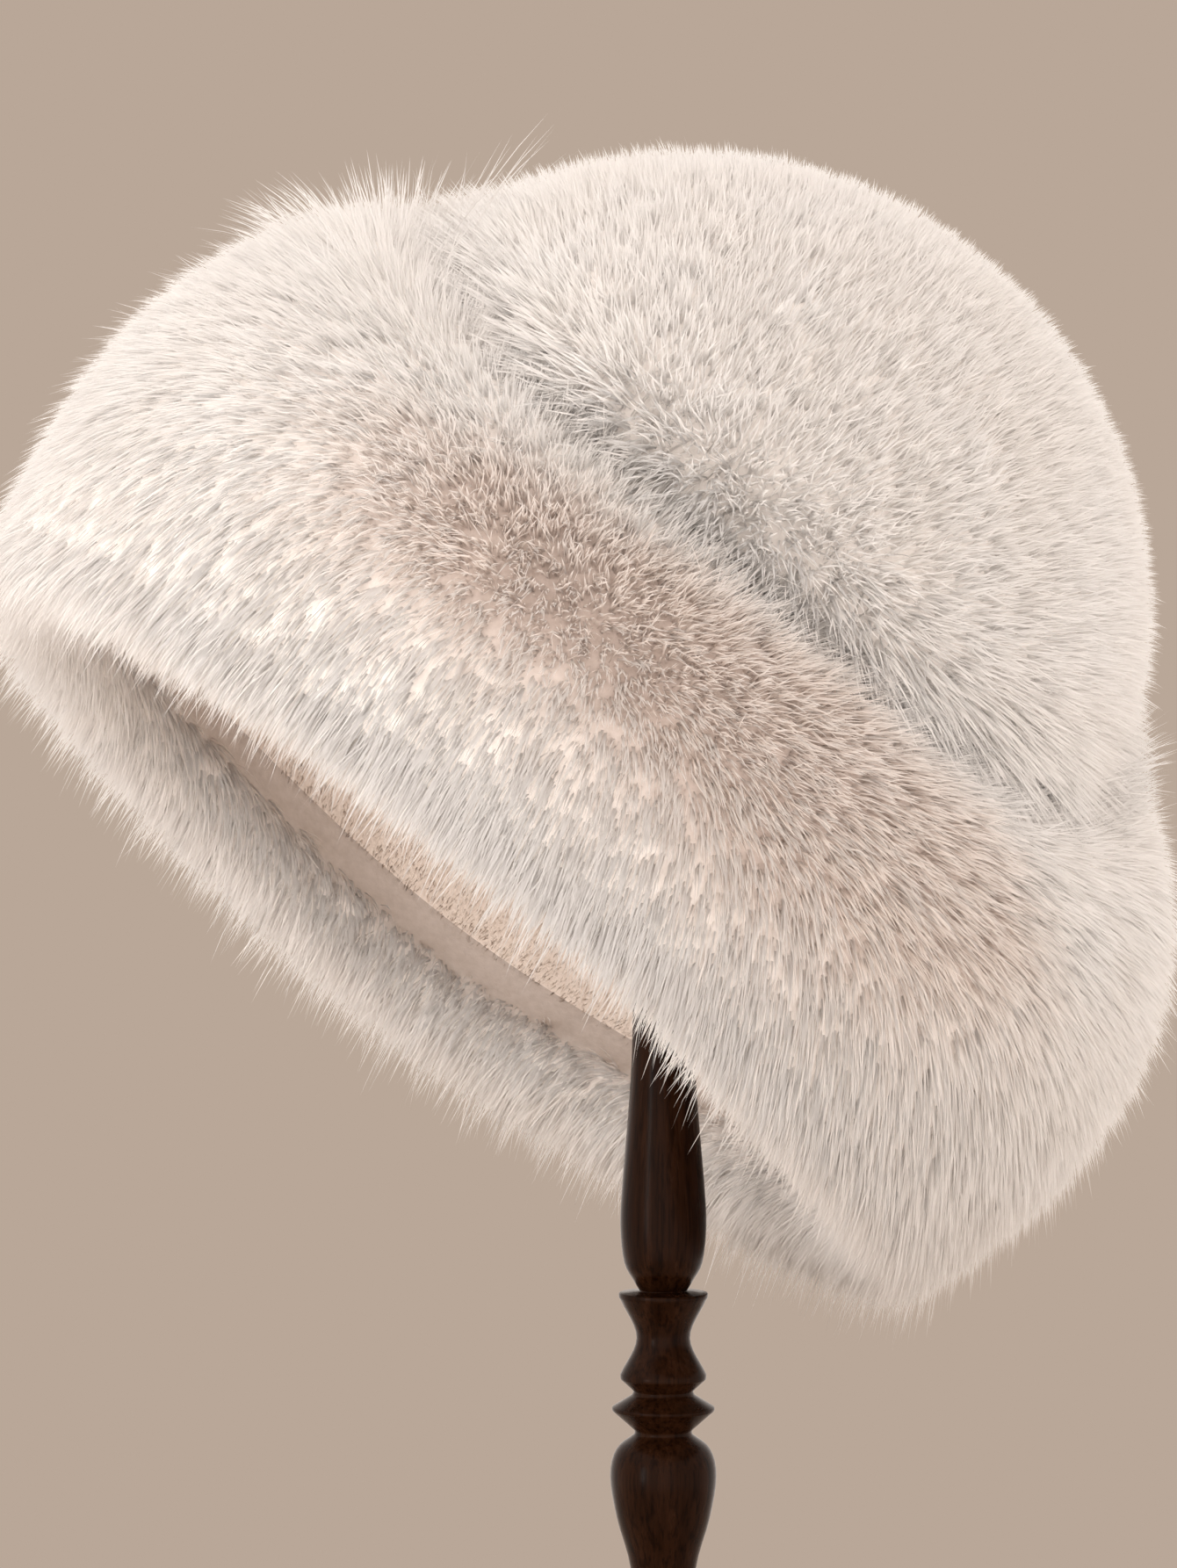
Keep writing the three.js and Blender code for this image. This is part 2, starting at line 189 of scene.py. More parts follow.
@dataclass(frozen=True)
class HatForm:
    """The hat's walls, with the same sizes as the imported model's."""

    seat: tuple[float, float, float] = (0.014, 0.0, 0.344)
    tip: float = 39.0
    lean: float = 9.0
    half_length: float = 0.103
    half_width: float = 0.094
    rise: float = 0.104
    centre: float = -0.008
    wall: float = 0.0025
    seam_gap: float = 0.0003
    roundness: float = 0.56
    shoulder: float = 2.0 / 3.0
    slope_step: float = 0.002
    brim_rows: tuple[BrimRow, ...] = (
        BrimRow(0.016, 0.148, -0.056, 0.141, -0.095),
        BrimRow(-0.006, 0.145, -0.062, 0.140, -0.098),
        BrimRow(-0.020, 0.139, -0.072, 0.135, -0.106),
        BrimRow(-0.026, 0.137, -0.076, 0.134, -0.111),
        BrimRow(-0.020, 0.138, -0.076, 0.134, -0.109),
        BrimRow(-0.004, 0.140, -0.072, 0.136, -0.106),
        BrimRow(0.016, 0.140, -0.066, 0.137, -0.105),
        BrimRow(-0.004, 0.140, -0.068, 0.137, -0.100),
        BrimRow(-0.020, 0.138, -0.070, 0.135, -0.097),
        BrimRow(-0.026, 0.137, -0.070, 0.134, -0.097),
        BrimRow(-0.025, 0.139, -0.068, 0.136, -0.099),
        BrimRow(-0.012, 0.144, -0.060, 0.140, -0.097),
    )

    def rotation(self) -> Array:
        """The turn from the hat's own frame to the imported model's."""
        tipped = Matrix.Rotation(math.radians(self.tip), 3, "Y")
        return np.array(tipped @ Matrix.Rotation(-math.radians(self.lean), 3, "X"))

    def place(self, turn: Array, reach: Array, height: Array) -> Array:
        """Points of the model's frame.

        Args:
            turn: angle round the hat's axis, from its low side.
            reach: distance from that axis, measured along the half length.
            height: height over the seat along the axis.

        Returns:
            An array with a last axis of three coordinates.
        """
        across = reach * (self.half_width / self.half_length)
        own = np.stack([reach * np.cos(turn), across * np.sin(turn), height + 0.0 * turn], -1)
        return own @ self.rotation().T + np.array(self.seat)

    def brim_sizes(self, turn: Array) -> Array:
        """The brim's named sizes at any turn, run smoothly through its rows.

        Args:
            turn: angles round the hat's axis.

        Returns:
            An array whose last axis has BrimRow's columns.
        """
        rows = np.array(self.brim_rows)
        count = len(rows)
        place = np.mod(turn, TURN) * count / TURN
        index = np.floor(place).astype(int)
        part = (place - index)[..., None]
        return spline(*(rows[(index + step) % count] for step in (-1, 0, 1, 2)), part)

    def crown_polar(self, height: Array) -> Array:
        """The polar angle from the crown's top at which its wall passes a height."""
        return np.arccos(np.clip((height - self.centre) / self.rise, -1.0, 1.0))

    def crown_section(self, polar: Array, offset: Array) -> tuple[Array, Array]:
        """A place of the crown, off its wall's outer face.

        Args:
            polar: the polar angle from the crown's top.
            offset: distance out from the wall's outer face.

        Returns:
            Its reach and height.
        """
        normal_reach, normal_height = np.sin(polar) / self.half_length, np.cos(polar) / self.rise
        scale = offset / np.hypot(normal_reach, normal_height)
        reach = self.half_length * np.sin(polar) + normal_reach * scale
        return reach, self.centre + self.rise * np.cos(polar) + normal_height * scale

    def seam_root(self, turn: Array) -> tuple[Array, Array]:
        """The place at which the brim's wall starts from the crown.

        Args:
            turn: angles round the hat's axis.

        Returns:
            Its reach and height.
        """
        seam = self.brim_sizes(turn)[..., 0]
        upper, lower = (
            self.half_length * np.sin(self.crown_polar(height)) for height in (seam, seam - self.wall)
        )
        return np.maximum(upper, lower) + self.seam_gap, seam

    def brim_curve(self, turn: Array, along: Array) -> tuple[Array, Array]:
        """A place of the brim's outer face.

        Args:
            turn: angles round the hat's axis.
            along: how far down the brim it is, from the seam at 0 to the hem at 1.

        Returns:
            Its reach and height.
        """
        sizes = self.brim_sizes(turn)
        widest, widest_at, hem, hem_at = (sizes[..., column] for column in range(1, 5))
        start_reach, start_height = self.seam_root(turn)
        over = np.clip(along / self.shoulder, 0.0, 1.0)
        down = np.clip((along - self.shoulder) / (1.0 - self.shoulder), 0.0, 1.0)
        reaches = (start_reach, mixed(start_reach, widest, self.roundness), widest, widest)
        heights = (start_height, start_height, mixed(widest_at, start_height, self.roundness), widest_at)
        low_reach = bezier((widest, widest, hem), down)
        low_height = bezier((widest_at, 0.5 * (widest_at + hem_at), hem_at), down)
        dropped = along > self.shoulder
        reach = np.where(dropped, low_reach, bezier(reaches, over))
        return reach, np.where(dropped, low_height, bezier(heights, over))

    def brim_section(self, turn: Array, along: Array) -> tuple[Array, Array, Array, Array]:
        """A place of the brim's outer face, with its outward normal.

        Args:
            turn: angles round the hat's axis.
            along: how far down the brim it is, from the seam at 0 to the hem at 1.

        Returns:
            Its reach and height, and the normal's reach and height.
        """
        reach, height = self.brim_curve(turn, along)
        after = self.brim_curve(turn, np.clip(along + self.slope_step, 0.0, 1.0))
        before = self.brim_curve(turn, np.clip(along - self.slope_step, 0.0, 1.0))
        run, rise = after[0] - before[0], after[1] - before[1]
        length = np.maximum(np.hypot(run, rise), 1e-12)
        return reach, height, -rise / length, run / length


@dataclass(frozen=True)
class Coat:
    """A furred surface, by turn round the hat and part of the way down, at any share of its depth."""

    form: HatForm = field(default_factory=HatForm)
    parting_angle: float = 27.0
    parting_depth: float = 0.017
    parting_fill: float = 0.011
    fill_rise: Span = (215.0, 250.0)
    fill_fall: Span = (310.0, 345.0)
    nap: float = 0.004
    droop: float = 0.2
    comb: float = 0.0
    facing: float = 1.0
    plain_ground: float = 0.78
    marked_ground: float = 0.70
    normal_step: float = 0.004

    def parted_depth(self, turn: Array) -> Array:
        """Distance of the parting from the seam, larger on the side of the marking."""
        near = window(degrees_of(turn), self.fill_rise, self.fill_fall)
        return self.parting_depth + self.parting_fill * near

    def parting(self) -> Span:
        """The way of the line on which the crown's and the brim's fur part, as reach and height."""
        angle = math.radians(self.parting_angle)
        return math.cos(angle), math.sin(angle)

    def section(self, turn: Array, part: Array, share: Array | float) -> tuple[Array, Array]:
        """Reach and height of the coat at a share of its depth."""
        raise NotImplementedError

    def marking(self, turn: Array, part: Array) -> Array:
        """How much of the taupe marking a place has, from 0 to 1."""
        return np.zeros_like(turn)

    def ground(self, turn: Array, part: Array) -> Array:
        """The share of the coat's depth that its woolly ground fills, less where the marking is."""
        return mixed(self.plain_ground, self.marked_ground, self.marking(turn, part))

    def nap_at(self, turn: Array, part: Array) -> Array:
        """How far the hair's tips stand over the dense fur."""
        return self.nap + 0.0 * part

    def comb_at(self, turn: Array, part: Array) -> Array:
        """How far the hair leans down the coat, as the slope of its lean."""
        return self.comb + 0.0 * part

    def at(self, turn: Array, part: Array, share: Array | float) -> Array:
        """Points of the coat in the model's frame."""
        return self.form.place(turn, *self.section(turn, part, share))

    def across(self, turn: Array, part: Array, share: float, step: Span) -> Array:
        """The way over a place of the coat, from a step before it to a step after it.

        Args:
            turn: angles round the hat's axis.
            part: parts of the way down the coat.
            share: the share of its depth.
            step: the step, as a turn and a part.

        Returns:
            Vectors in the model's frame.
        """
        after = self.at(turn + step[0], np.clip(part + step[1], 0.0, 1.0), share)
        return after - self.at(turn - step[0], np.clip(part - step[1], 0.0, 1.0), share)

    def normal(self, turn: Array, part: Array, share: float) -> Array:
        """Outward normals of the coat in the model's frame."""
        down, along = (0.0, self.normal_step), (self.normal_step, 0.0)
        return unit(np.cross(self.across(turn, part, share, down), self.across(turn, part, share, along)))


@dataclass(frozen=True)
class CrownCoat(Coat):
    """The crown's short fur, from its top to the parting."""

    apex: float = 0.011
    foot: float = 0.014
    fill_share: float = 0.8
    fill_from: float = 0.55
    seam_nap: float = 0.009
    seam_nap_from: float = 0.84
    seam_comb: float = 1.2
    seam_comb_from: float = 0.80

    def nap_at(self, turn: Array, part: Array) -> Array:
        """How far the hair's tips stand over the dense fur, further where it meets the brim's."""
        return mixed(self.nap, self.seam_nap, smoothstep(part, self.seam_nap_from, 1.0))

    def comb_at(self, turn: Array, part: Array) -> Array:
        """The hair leans further down where it lies over the parting."""
        return mixed(self.comb, self.seam_comb, smoothstep(part, self.seam_comb_from, 1.0))

    def section(self, turn: Array, part: Array, share: Array | float) -> tuple[Array, Array]:
        """A place of the crown's coat.

        Args:
            turn: angles round the hat's axis.
            part: parts of the way down to the parting.
            share: the share of the coat's depth.

        Returns:
            Its reach and height.
        """
        seam, depth = self.form.seam_root(turn)[1], self.parted_depth(turn)
        lowest = self.form.crown_polar(seam + share * depth * self.parting()[1])
        fill = self.fill_share * (depth - self.parting_depth)
        foot = self.foot + fill * smoothstep(part, self.fill_from, 1.0)
        return self.form.crown_section(part * lowest, share * mixed(self.apex, foot, part))


class Patch(NamedTuple):
    """One layer of the marking: its strength, the turns that it covers and how its two edges fade."""

    strength: float
    turns: tuple[Span, Span]
    head: Span
    foot: Span


@dataclass(frozen=True)
class BrimCoat(Coat):
    """The brim's long fur, from the parting, round the hem and back under it."""

    shoulder: float = 0.014
    side: float = 0.020
    side_from: float = 0.6
    under_hem: float = 0.008
    tucked: float = 0.0015
    parted_to: float = 0.2
    hem_from: float = 0.78
    hem_to: float = 0.94
    wrap: float = 0.86
    hem_thins_from: float = 0.90
    under_thinning: float = 0.85
    hem_turns: Series = (0, 40, 90, 140, 180, 225, 262, 291, 309, 335, 360)
    hem_droops: Series = (0.002, 0.003, 0.005, 0.006, 0.004, 0.005, 0.001, -0.006, 0.001, 0.002, 0.002)
    hem_naps: Series = (0.005, 0.007, 0.0085, 0.006, 0.002, 0.004, 0.0045, 0.004, 0.005, 0.005, 0.005)
    hem_nap_from: float = 0.35
    ridge_nap: float = 0.011
    ridge_to: float = 0.12
    combed: tuple[float, float, float] = (-0.9, 0.45, 1.3)
    combed_over: Span = (0.0, 0.25)
    combed_down: Span = (0.4, 0.68)
    comb_ends: float = 0.06
    uncombed_marking: float = 0.7
    marking_turns: Series = (218, 226, 236, 246, 256, 264, 274, 289, 304, 314, 322, 332)
    marking_from: Series = (0.54, 0.46, 0.38, 0.34, 0.29, 0.26, 0.22, 0.20, 0.25, 0.33, 0.44, 0.56)
    marking_to: Series = (0.60, 0.70, 0.76, 0.82, 0.84, 0.82, 0.84, 0.90, 0.86, 0.80, 0.74, 0.62)
    patches: tuple[Patch, ...] = (
        Patch(0.80, ((222.0, 252.0), (310.0, 332.0)), (-0.04, 0.16), (-0.26, 0.02)),
        Patch(0.20, ((212.0, 244.0), (318.0, 345.0)), (-0.12, 0.06), (-0.10, 0.22)),
    )
    # Painted shade: how far the fur under the hem is tinted towards the marked colours.
    under_hem_painted_shade: float = 0.5
    under_hem_shade_from: Span = (0.86, 0.95)

    def nap_at(self, turn: Array, part: Array) -> Array:
        """How far the hair's tips stand over the dense fur, by turn near the hem, less on the underside.

        Args:
            turn: angles round the hat's axis.
            part: parts of the way down the coat.

        Returns:
            Lengths.
        """
        low = np.interp(degrees_of(turn), self.hem_turns, self.hem_naps)
        nap = mixed(self.ridge_nap, self.nap, smoothstep(part, 0.0, self.ridge_to))
        nap = mixed(nap, low, smoothstep(part, self.hem_nap_from, self.hem_from))
        return nap * (1.0 - self.under_thinning * smoothstep(part, self.hem_thins_from, 1.0))

    def comb_at(self, turn: Array, part: Array) -> Array:
        """The hair leans over the parting, stands in the marking and lies down towards the hem.

        Args:
            turn: angles round the hat's axis.
            part: parts of the way down the coat.

        Returns:
            Slopes of the hair's lean.
        """
        upper, middle, lower = self.combed
        comb = mixed(upper, middle, smoothstep(part, *self.combed_over))
        comb = mixed(comb, lower, smoothstep(part, *self.combed_down))
        comb = comb * (1.0 - self.uncombed_marking * self.marking(turn, part))
        return comb * (1.0 - smoothstep(part, self.hem_from, self.hem_from + self.comb_ends))

    def depth(self, along: Array) -> Array:
        """Depth of the dense fur over the brim's outer face."""
        return mixed(self.shoulder, self.side, smoothstep(along, 0.0, self.side_from))

    def section(self, turn: Array, part: Array, share: Array | float) -> tuple[Array, Array]:
        """A place of the brim's coat: over the brim, fanned round its hem or tucked under it.

        Args:
            turn: angles round the hat's axis.
            part: parts of the way from the parting to the coat's inner end.
            share: the share of the coat's depth.

        Returns:
            Its reach and height.
        """
        along = np.clip(part / self.hem_from, 0.0, 1.0)
        under = np.clip((part - self.hem_to) / (1.0 - self.hem_to), 0.0, 1.0)
        droop = np.interp(degrees_of(turn), self.hem_turns, self.hem_droops)
        along = np.where(part > self.hem_to, mixed(1.0, self.wrap, under), along)
        reach, height, out_reach, out_height = self.form.brim_section(turn, along)
        parted = 1.0 - smoothstep(along, 0.0, self.parted_to)
        depth = self.depth(along) * share
        way_reach, way_height = self.parting()
        way_out = self.parted_depth(turn) * share
        outer_reach = reach + mixed(out_reach * depth, way_reach * way_out, parted)
        outer_height = height + mixed(out_height * depth, way_height * way_out, parted)
        fan = np.clip((part - self.hem_from) / (self.hem_to - self.hem_from), 0.0, 1.0)
        angle = np.arctan2(out_height, out_reach) - fan * math.pi
        half_wall = 0.5 * self.form.wall
        arm = mixed(self.side, self.under_hem, fan * fan) + droop * np.sin(fan * math.pi)
        arm = mixed(arm, self.tucked, smoothstep(under, 0.0, 1.0)) * share + half_wall
        wrapped = part > self.hem_from
        reach = np.where(wrapped, reach - half_wall * out_reach + arm * np.cos(angle), outer_reach)
        return reach, np.where(wrapped, height - half_wall * out_height + arm * np.sin(angle), outer_height)

    def marking(self, turn: Array, part: Array) -> Array:
        """How much of the taupe marking a place has: a pale blush with a darker middle, and painted shade
        that tints the fur taupe where it wraps under the hem.

        Args:
            turn: angles round the hat's axis.
            part: parts of the way down the coat.

        Returns:
            Values from 0 to 1.
        """
        along, degrees = part / self.hem_from, degrees_of(turn)
        top = np.interp(degrees, self.marking_turns, self.marking_from)
        foot = np.interp(degrees, self.marking_turns, self.marking_to)
        marked = 0.0
        for patch in self.patches:
            head_edge = (top + patch.head[0], top + patch.head[1])
            foot_edge = (foot + patch.foot[0], foot + patch.foot[1])
            marked += patch.strength * window(degrees, *patch.turns) * window(along, head_edge, foot_edge)
        # Under the hem the fur is tinted towards the marked colours as painted shade inside the hat.
        return np.clip(marked, self.under_hem_painted_shade * smoothstep(part, *self.under_hem_shade_from), 1.0)


@dataclass(frozen=True)
class FacingCoat(Coat):
    """The padded plush band under the brim: down its underside to part 0.5 and back up its hidden side."""

    gap: float = 0.0005
    thick: float = 0.003
    top: float = 1.0 / 6.0
    foot: float = 0.93
    squareness: float = 0.3

    def section(self, turn: Array, part: Array, share: Array | float) -> tuple[Array, Array]:
        """A place of the band.

        Args:
            turn: angles round the hat's axis.
            part: parts of the way round the band's section.
            share: the share of its thickness.

        Returns:
            Its reach and height.
        """
        angle = TURN * part
        along = mixed(self.top, self.foot, 0.5 - 0.5 * np.cos(angle))
        bulge = np.sign(np.sin(angle)) * np.abs(np.sin(angle)) ** self.squareness
        offset = self.form.wall + self.gap + self.thick * share * (0.5 + 0.5 * bulge)
        reach, height, out_reach, out_height = self.form.brim_section(turn, along)
        return reach - out_reach * offset, height - out_height * offset


@dataclass(frozen=True)
class Hair:
    """One kind of hair, a narrow tapering ribbon: its share of a pile, its widths by station and its ways."""

    share: float
    stations: Series
    widths: Series
    shortest: float
    longest: float
    clump: float
    scatter: float

    def faces(self) -> Array:
        """The triangles of one hair.

        Returns:
            Rows of three points, where the points run in pairs from the root and end in the tip.
        """
        pairs = len(self.stations)
        rows = [(2 * i, 2 * i + 1, 2 * i + 3) for i in range(pairs - 1)]
        rows += [(2 * i, 2 * i + 3, 2 * i + 2) for i in range(pairs - 1)]
        rows.append((2 * pairs - 2, 2 * pairs - 1, 2 * pairs))
        return np.array(rows)


GUARD_HAIR = Hair(0.20, (0.0, 0.42, 0.76), (0.00042, 0.00038, 0.00026), 0.88, 1.14, 0.45, 0.10)
UNDER_HAIR = Hair(0.77, (0.0, 0.6), (0.00075, 0.00056), 0.74, 1.0, 0.30, 0.10)
STRAY_HAIR = Hair(0.03, (0.0, 0.4, 0.75), (0.00032, 0.00028, 0.0002), 1.1, 1.35, 0.3, 0.2)
FUZZ_HAIR = Hair(1.0, (0.0, 0.55), (0.00075, 0.00054), 0.78, 1.08, 0.14, 0.12)
TUFT_HAIR = Hair(1.0, (0.0, 0.4, 0.75), (0.00034, 0.0003, 0.00024), 1.3, 1.95, 0.75, 0.10)
HEM_TUFT_HAIR = Hair(1.0, (0.0, 0.4, 0.75), (0.00036, 0.00032, 0.00026), 1.05, 1.5, 0.7, 0.10)
PLUSH_HAIR = Hair(1.0, (0.0,), (0.0005,), 0.8, 1.1, 0.2, 0.2)


@dataclass
class Strands:
    """Ribbons of hair as plain arrays, joined before they become one mesh."""

    cell_margin: Span = (0.15, 0.1)
    points: list[Array] = field(default_factory=list)
    normals: list[Array] = field(default_factory=list)
    faces: list[Array] = field(default_factory=list)
    reach: list[Array] = field(default_factory=list)
    marking: list[Array] = field(default_factory=list)
    shade: list[Array] = field(default_factory=list)
    across: list[Array] = field(default_factory=list)
    count: int = 0

    def add(
        self, hair: Hair, line: Array, side: Array, normal: Array, marking: Array, shade: Array
    ) -> None:
        """Adds hairs of one kind.

        Args:
            hair: the kind of hair.
            line: points of each hair's middle line, with its stations and then its tip on the second axis.
            side: each hair's unit vector across its ribbon.
            normal: the coat's normal that each hair is shaded by.
            marking: how marked each hair is, with the painted shade under the hem.
            shade: how light each hair is.
        """
        total, pairs = len(line), len(hair.stations)
        per_hair = 2 * pairs + 1
        points = np.empty((total, per_hair, 3))
        for index, width in enumerate(hair.widths):
            points[:, 2 * index] = line[:, index] - side * (0.5 * width)
            points[:, 2 * index + 1] = line[:, index] + side * (0.5 * width)
        points[:, -1] = line[:, -1]
        start = self.count + per_hair * np.arange(total)[:, None, None]
        self.faces.append((start + hair.faces()[None]).reshape(-1, 3))
        self.points.append(points.reshape(-1, 3))
        self.normals.append(np.repeat(normal, per_hair, axis=0))
        self.reach.append(np.tile(np.append(np.repeat(hair.stations, 2), 1.0), total))
        self.marking.append(np.repeat(marking, per_hair))
        self.shade.append(np.repeat(shade, per_hair))
        self.across.append(np.tile(np.append(np.tile([0.0, 1.0], pairs), 0.5), total))
        self.count += total * per_hair

    def piece(self, name: str) -> Body:
        """Makes one mesh object of all the hairs.

        Args:
            name: the piece's name.

        Returns:
            The object, with its attributes, normals and bake map.
        """
        points, faces = np.concatenate(self.points), np.concatenate(self.faces)
        normals = np.concatenate(self.normals)
        mesh = bpy.data.meshes.new(name)
        mesh.vertices.add(len(points))
        mesh.vertices.foreach_set("co", points.astype(np.float32).ravel())
        mesh.loops.add(faces.size)
        mesh.loops.foreach_set("vertex_index", faces.astype(np.int32).ravel())
        mesh.polygons.add(len(faces))
        mesh.polygons.foreach_set("loop_start", np.arange(0, faces.size, 3, dtype=np.int32))
        mesh.polygons.foreach_set("use_smooth", np.ones(len(faces), dtype=bool))
        mesh.update(calc_edges=True)
        numbers = {Trait.REACH: self.reach, Trait.MARKING_AND_SHADE: self.marking, Trait.SHADE: self.shade}
        for trait, values in numbers.items():
            layer = mesh.attributes.new(trait.value, "FLOAT", "POINT")
            layer.data.foreach_set("value", np.concatenate(values).astype(np.float32))
        vectors = mesh.attributes.new(Trait.SURFACE.value, "FLOAT_VECTOR", "POINT")
        vectors.data.foreach_set("vector", normals.astype(np.float32).ravel())
        self.bake_map(mesh, faces)
        mesh.normals_split_custom_set_from_vertices(normals.astype(np.float32))
        return linked(name, mesh)

    def bake_map(self, mesh: bpy.types.Mesh, faces: Array) -> None:
        """Gives every hair a small cell of its own in the bake map, with its root at the cell's foot.

        Args:
            mesh: the hairs' mesh.
            faces: its triangles.
        """
        across, reach = np.concatenate(self.across), np.concatenate(self.reach)
        cell = np.cumsum(np.concatenate([[0], (np.diff(reach) < 0.0).astype(int)]))
        grid = math.ceil(math.sqrt(cell[-1] + 1))
        beside, below = self.cell_margin
        column = (cell % grid + beside + (1.0 - 2.0 * beside) * across) / grid
        row = (cell // grid + below + (1.0 - 2.0 * below) * reach) / grid
        flat = np.stack([column, row], -1)[faces.ravel()]
        mesh.uv_layers.new(name=BAKE_UV).data.foreach_set("uv", flat.astype(np.float32).ravel())


@dataclass(frozen=True)
class Sector:
    """A stretch of a coat, from one turn to another, in degrees, and from one part to another."""

    name: str
    start: float
    end: float
    top: float = 0.0
    foot: float = 1.0


@dataclass(frozen=True)
class Pile:
    """Hair over a coat, rooted in its under-fur and gathered in clumps."""

    coat: Coat
    sectors: tuple[Sector, ...]
    hairs: int
    per_clump: int
    seed: int
    root_share: float = 0.42
    sunk: float = 0.002
    clump_scatter: float = 0.10
    height_scatter: float = 0.035
    shading_scatter: float = 0.04
    marking_scatter: float = 0.12
    marking_edge: float = 0.2
    clump_shading: float = 0.12
    hair_shading: float = 0.16
    gather_power: float = 1.5
    least_upright: float = 0.7
    down_step: float = 0.01
    hairs_of: tuple[Hair, ...] = (GUARD_HAIR, UNDER_HAIR, STRAY_HAIR)
    cells: tuple[int, int] = (720, 220)

    def scattered(self, count: int, sector: Sector, rng: np.random.Generator) -> tuple[Array, Array]:
        """Places spread evenly over a sector by its area.

        Args:
            count: how many places.
            sector: the stretch of the coat.
            rng: the source of randomness.

        Returns:
            The turns and the parts of the places.
        """
        low, high = math.radians(sector.start), math.radians(sector.end)
        columns = max(8, round(self.cells[0] * (high - low) / TURN))
        rows = self.cells[1]
        turn_step, part_step = (high - low) / columns, (sector.foot - sector.top) / rows
        turns, parts = np.meshgrid(
            low + turn_step * (np.arange(columns) + 0.5),
            sector.top + part_step * (np.arange(rows) + 0.5),
            indexing="ij",
        )
        middle = 0.5 * (1.0 + self.root_share)
        across = self.coat.across(turns, parts, middle, (0.5 * turn_step, 0.0))
        down = self.coat.across(turns, parts, middle, (0.0, 0.5 * part_step))
        area = np.linalg.norm(np.cross(across, down), axis=-1).ravel()
        edges = np.cumsum(area) / area.sum()
        picks = np.searchsorted(edges, (np.arange(count) + rng.random(count)) / count)
        picks = np.minimum(picks, area.size - 1)
        turn = turns.ravel()[picks] + (rng.random(count) - 0.5) * turn_step
        return turn, parts.ravel()[picks] + (rng.random(count) - 0.5) * part_step

    def build(self) -> list[Body]:
        """Makes the pile.

        Returns:
            Its pieces, one for each sector.
        """
        whole = sum(sector.end - sector.start for sector in self.sectors)
        pieces = []
        for index, sector in enumerate(self.sectors):
            rng = np.random.default_rng(self.seed + index)
            share = (sector.end - sector.start) / whole
            clumps = round(self.hairs // self.per_clump * share)
            pieces.append(self.sector_piece(sector, round(self.hairs * share), clumps, rng))
        return pieces

    def sector_piece(self, sector: Sector, hairs: int, clumps: int, rng: np.random.Generator) -> Body:
        """Makes one sector's piece.

        Args:
            sector: the stretch of the coat.
            hairs: how many hairs it gets.
            clumps: how many clumps they gather in.
            rng: the source of randomness.

        Returns:
            The piece.
        """
        clump_turn, clump_part = self.scattered(clumps, sector, rng)
        clump_root = self.coat.at(clump_turn, clump_part, self.root_share)
        clump_lean = rng.normal(0.0, self.clump_scatter, (clumps, 3))
        clump_shade = rng.normal(0.0, 1.0, clumps)
        clump_height = rng.normal(1.0, self.height_scatter, clumps)
        tree = KDTree(clumps)
        for index, point in enumerate(clump_root):
            tree.insert(point, index)
        tree.balance()
        strands = Strands()
        for hair in self.hairs_of:
            count = round(hairs * hair.share)
            turn, part = self.scattered(count, sector, rng)
            root = self.coat.at(turn, part, self.root_share)
            nearest = np.array([tree.find(point)[1] for point in root])
            lean = clump_lean[nearest]
            dense = self.coat.at(turn, part, 1.0) - root
            height = np.linalg.norm(dense, axis=-1) + self.coat.nap_at(turn, part)
            straight = unit(dense)
            down = unit(self.coat.across(turn, part, 1.0, (0.0, self.down_step)))
            way = straight + self.coat.comb_at(turn, part)[:, None] * down + lean
            way = unit(way + rng.normal(0.0, hair.scatter, (count, 3)))
            longer = rng.uniform(hair.shortest, hair.longest, count) * clump_height[nearest]
            upright = np.clip(np.sum(way * straight, -1), self.least_upright, 1.0)
            length = (height * longer + self.sunk) / upright
            fall = np.array([0.0, 0.0, -1.0]) + way * way[:, 2:3]
            start = root - self.sunk * straight
            gather = hair.clump * (clump_root[nearest] - root)
            steps = (*hair.stations, 1.0)
            line = np.empty((count, len(steps), 3))
            for station, step in enumerate(steps):
                along = (length * step)[:, None]
                bend = self.coat.droop * step * along * fall
                line[:, station] = start + way * along + bend + gather * step**self.gather_power
            normal = self.coat.normal(turn, part, 1.0)
            side = unit(np.cross(way, self.coat.facing * normal + rng.normal(0.0, 1.0, (count, 3))))
            normal = unit(normal + lean * (self.shading_scatter / self.clump_scatter))
            marked = self.coat.marking(turn, part)
            marking = np.clip(marked + self.marking_scatter * clump_shade[nearest], 0.0, 1.0)
            marking = marking * smoothstep(marked, 0.0, self.marking_edge)
            shade = 0.5 + self.clump_shading * clump_shade[nearest]
            shade = np.clip(shade + rng.normal(0.0, self.hair_shading, count), 0.0, 1.0)
            strands.add(hair, line, side, normal, marking, shade)
        return strands.piece(sector.name)


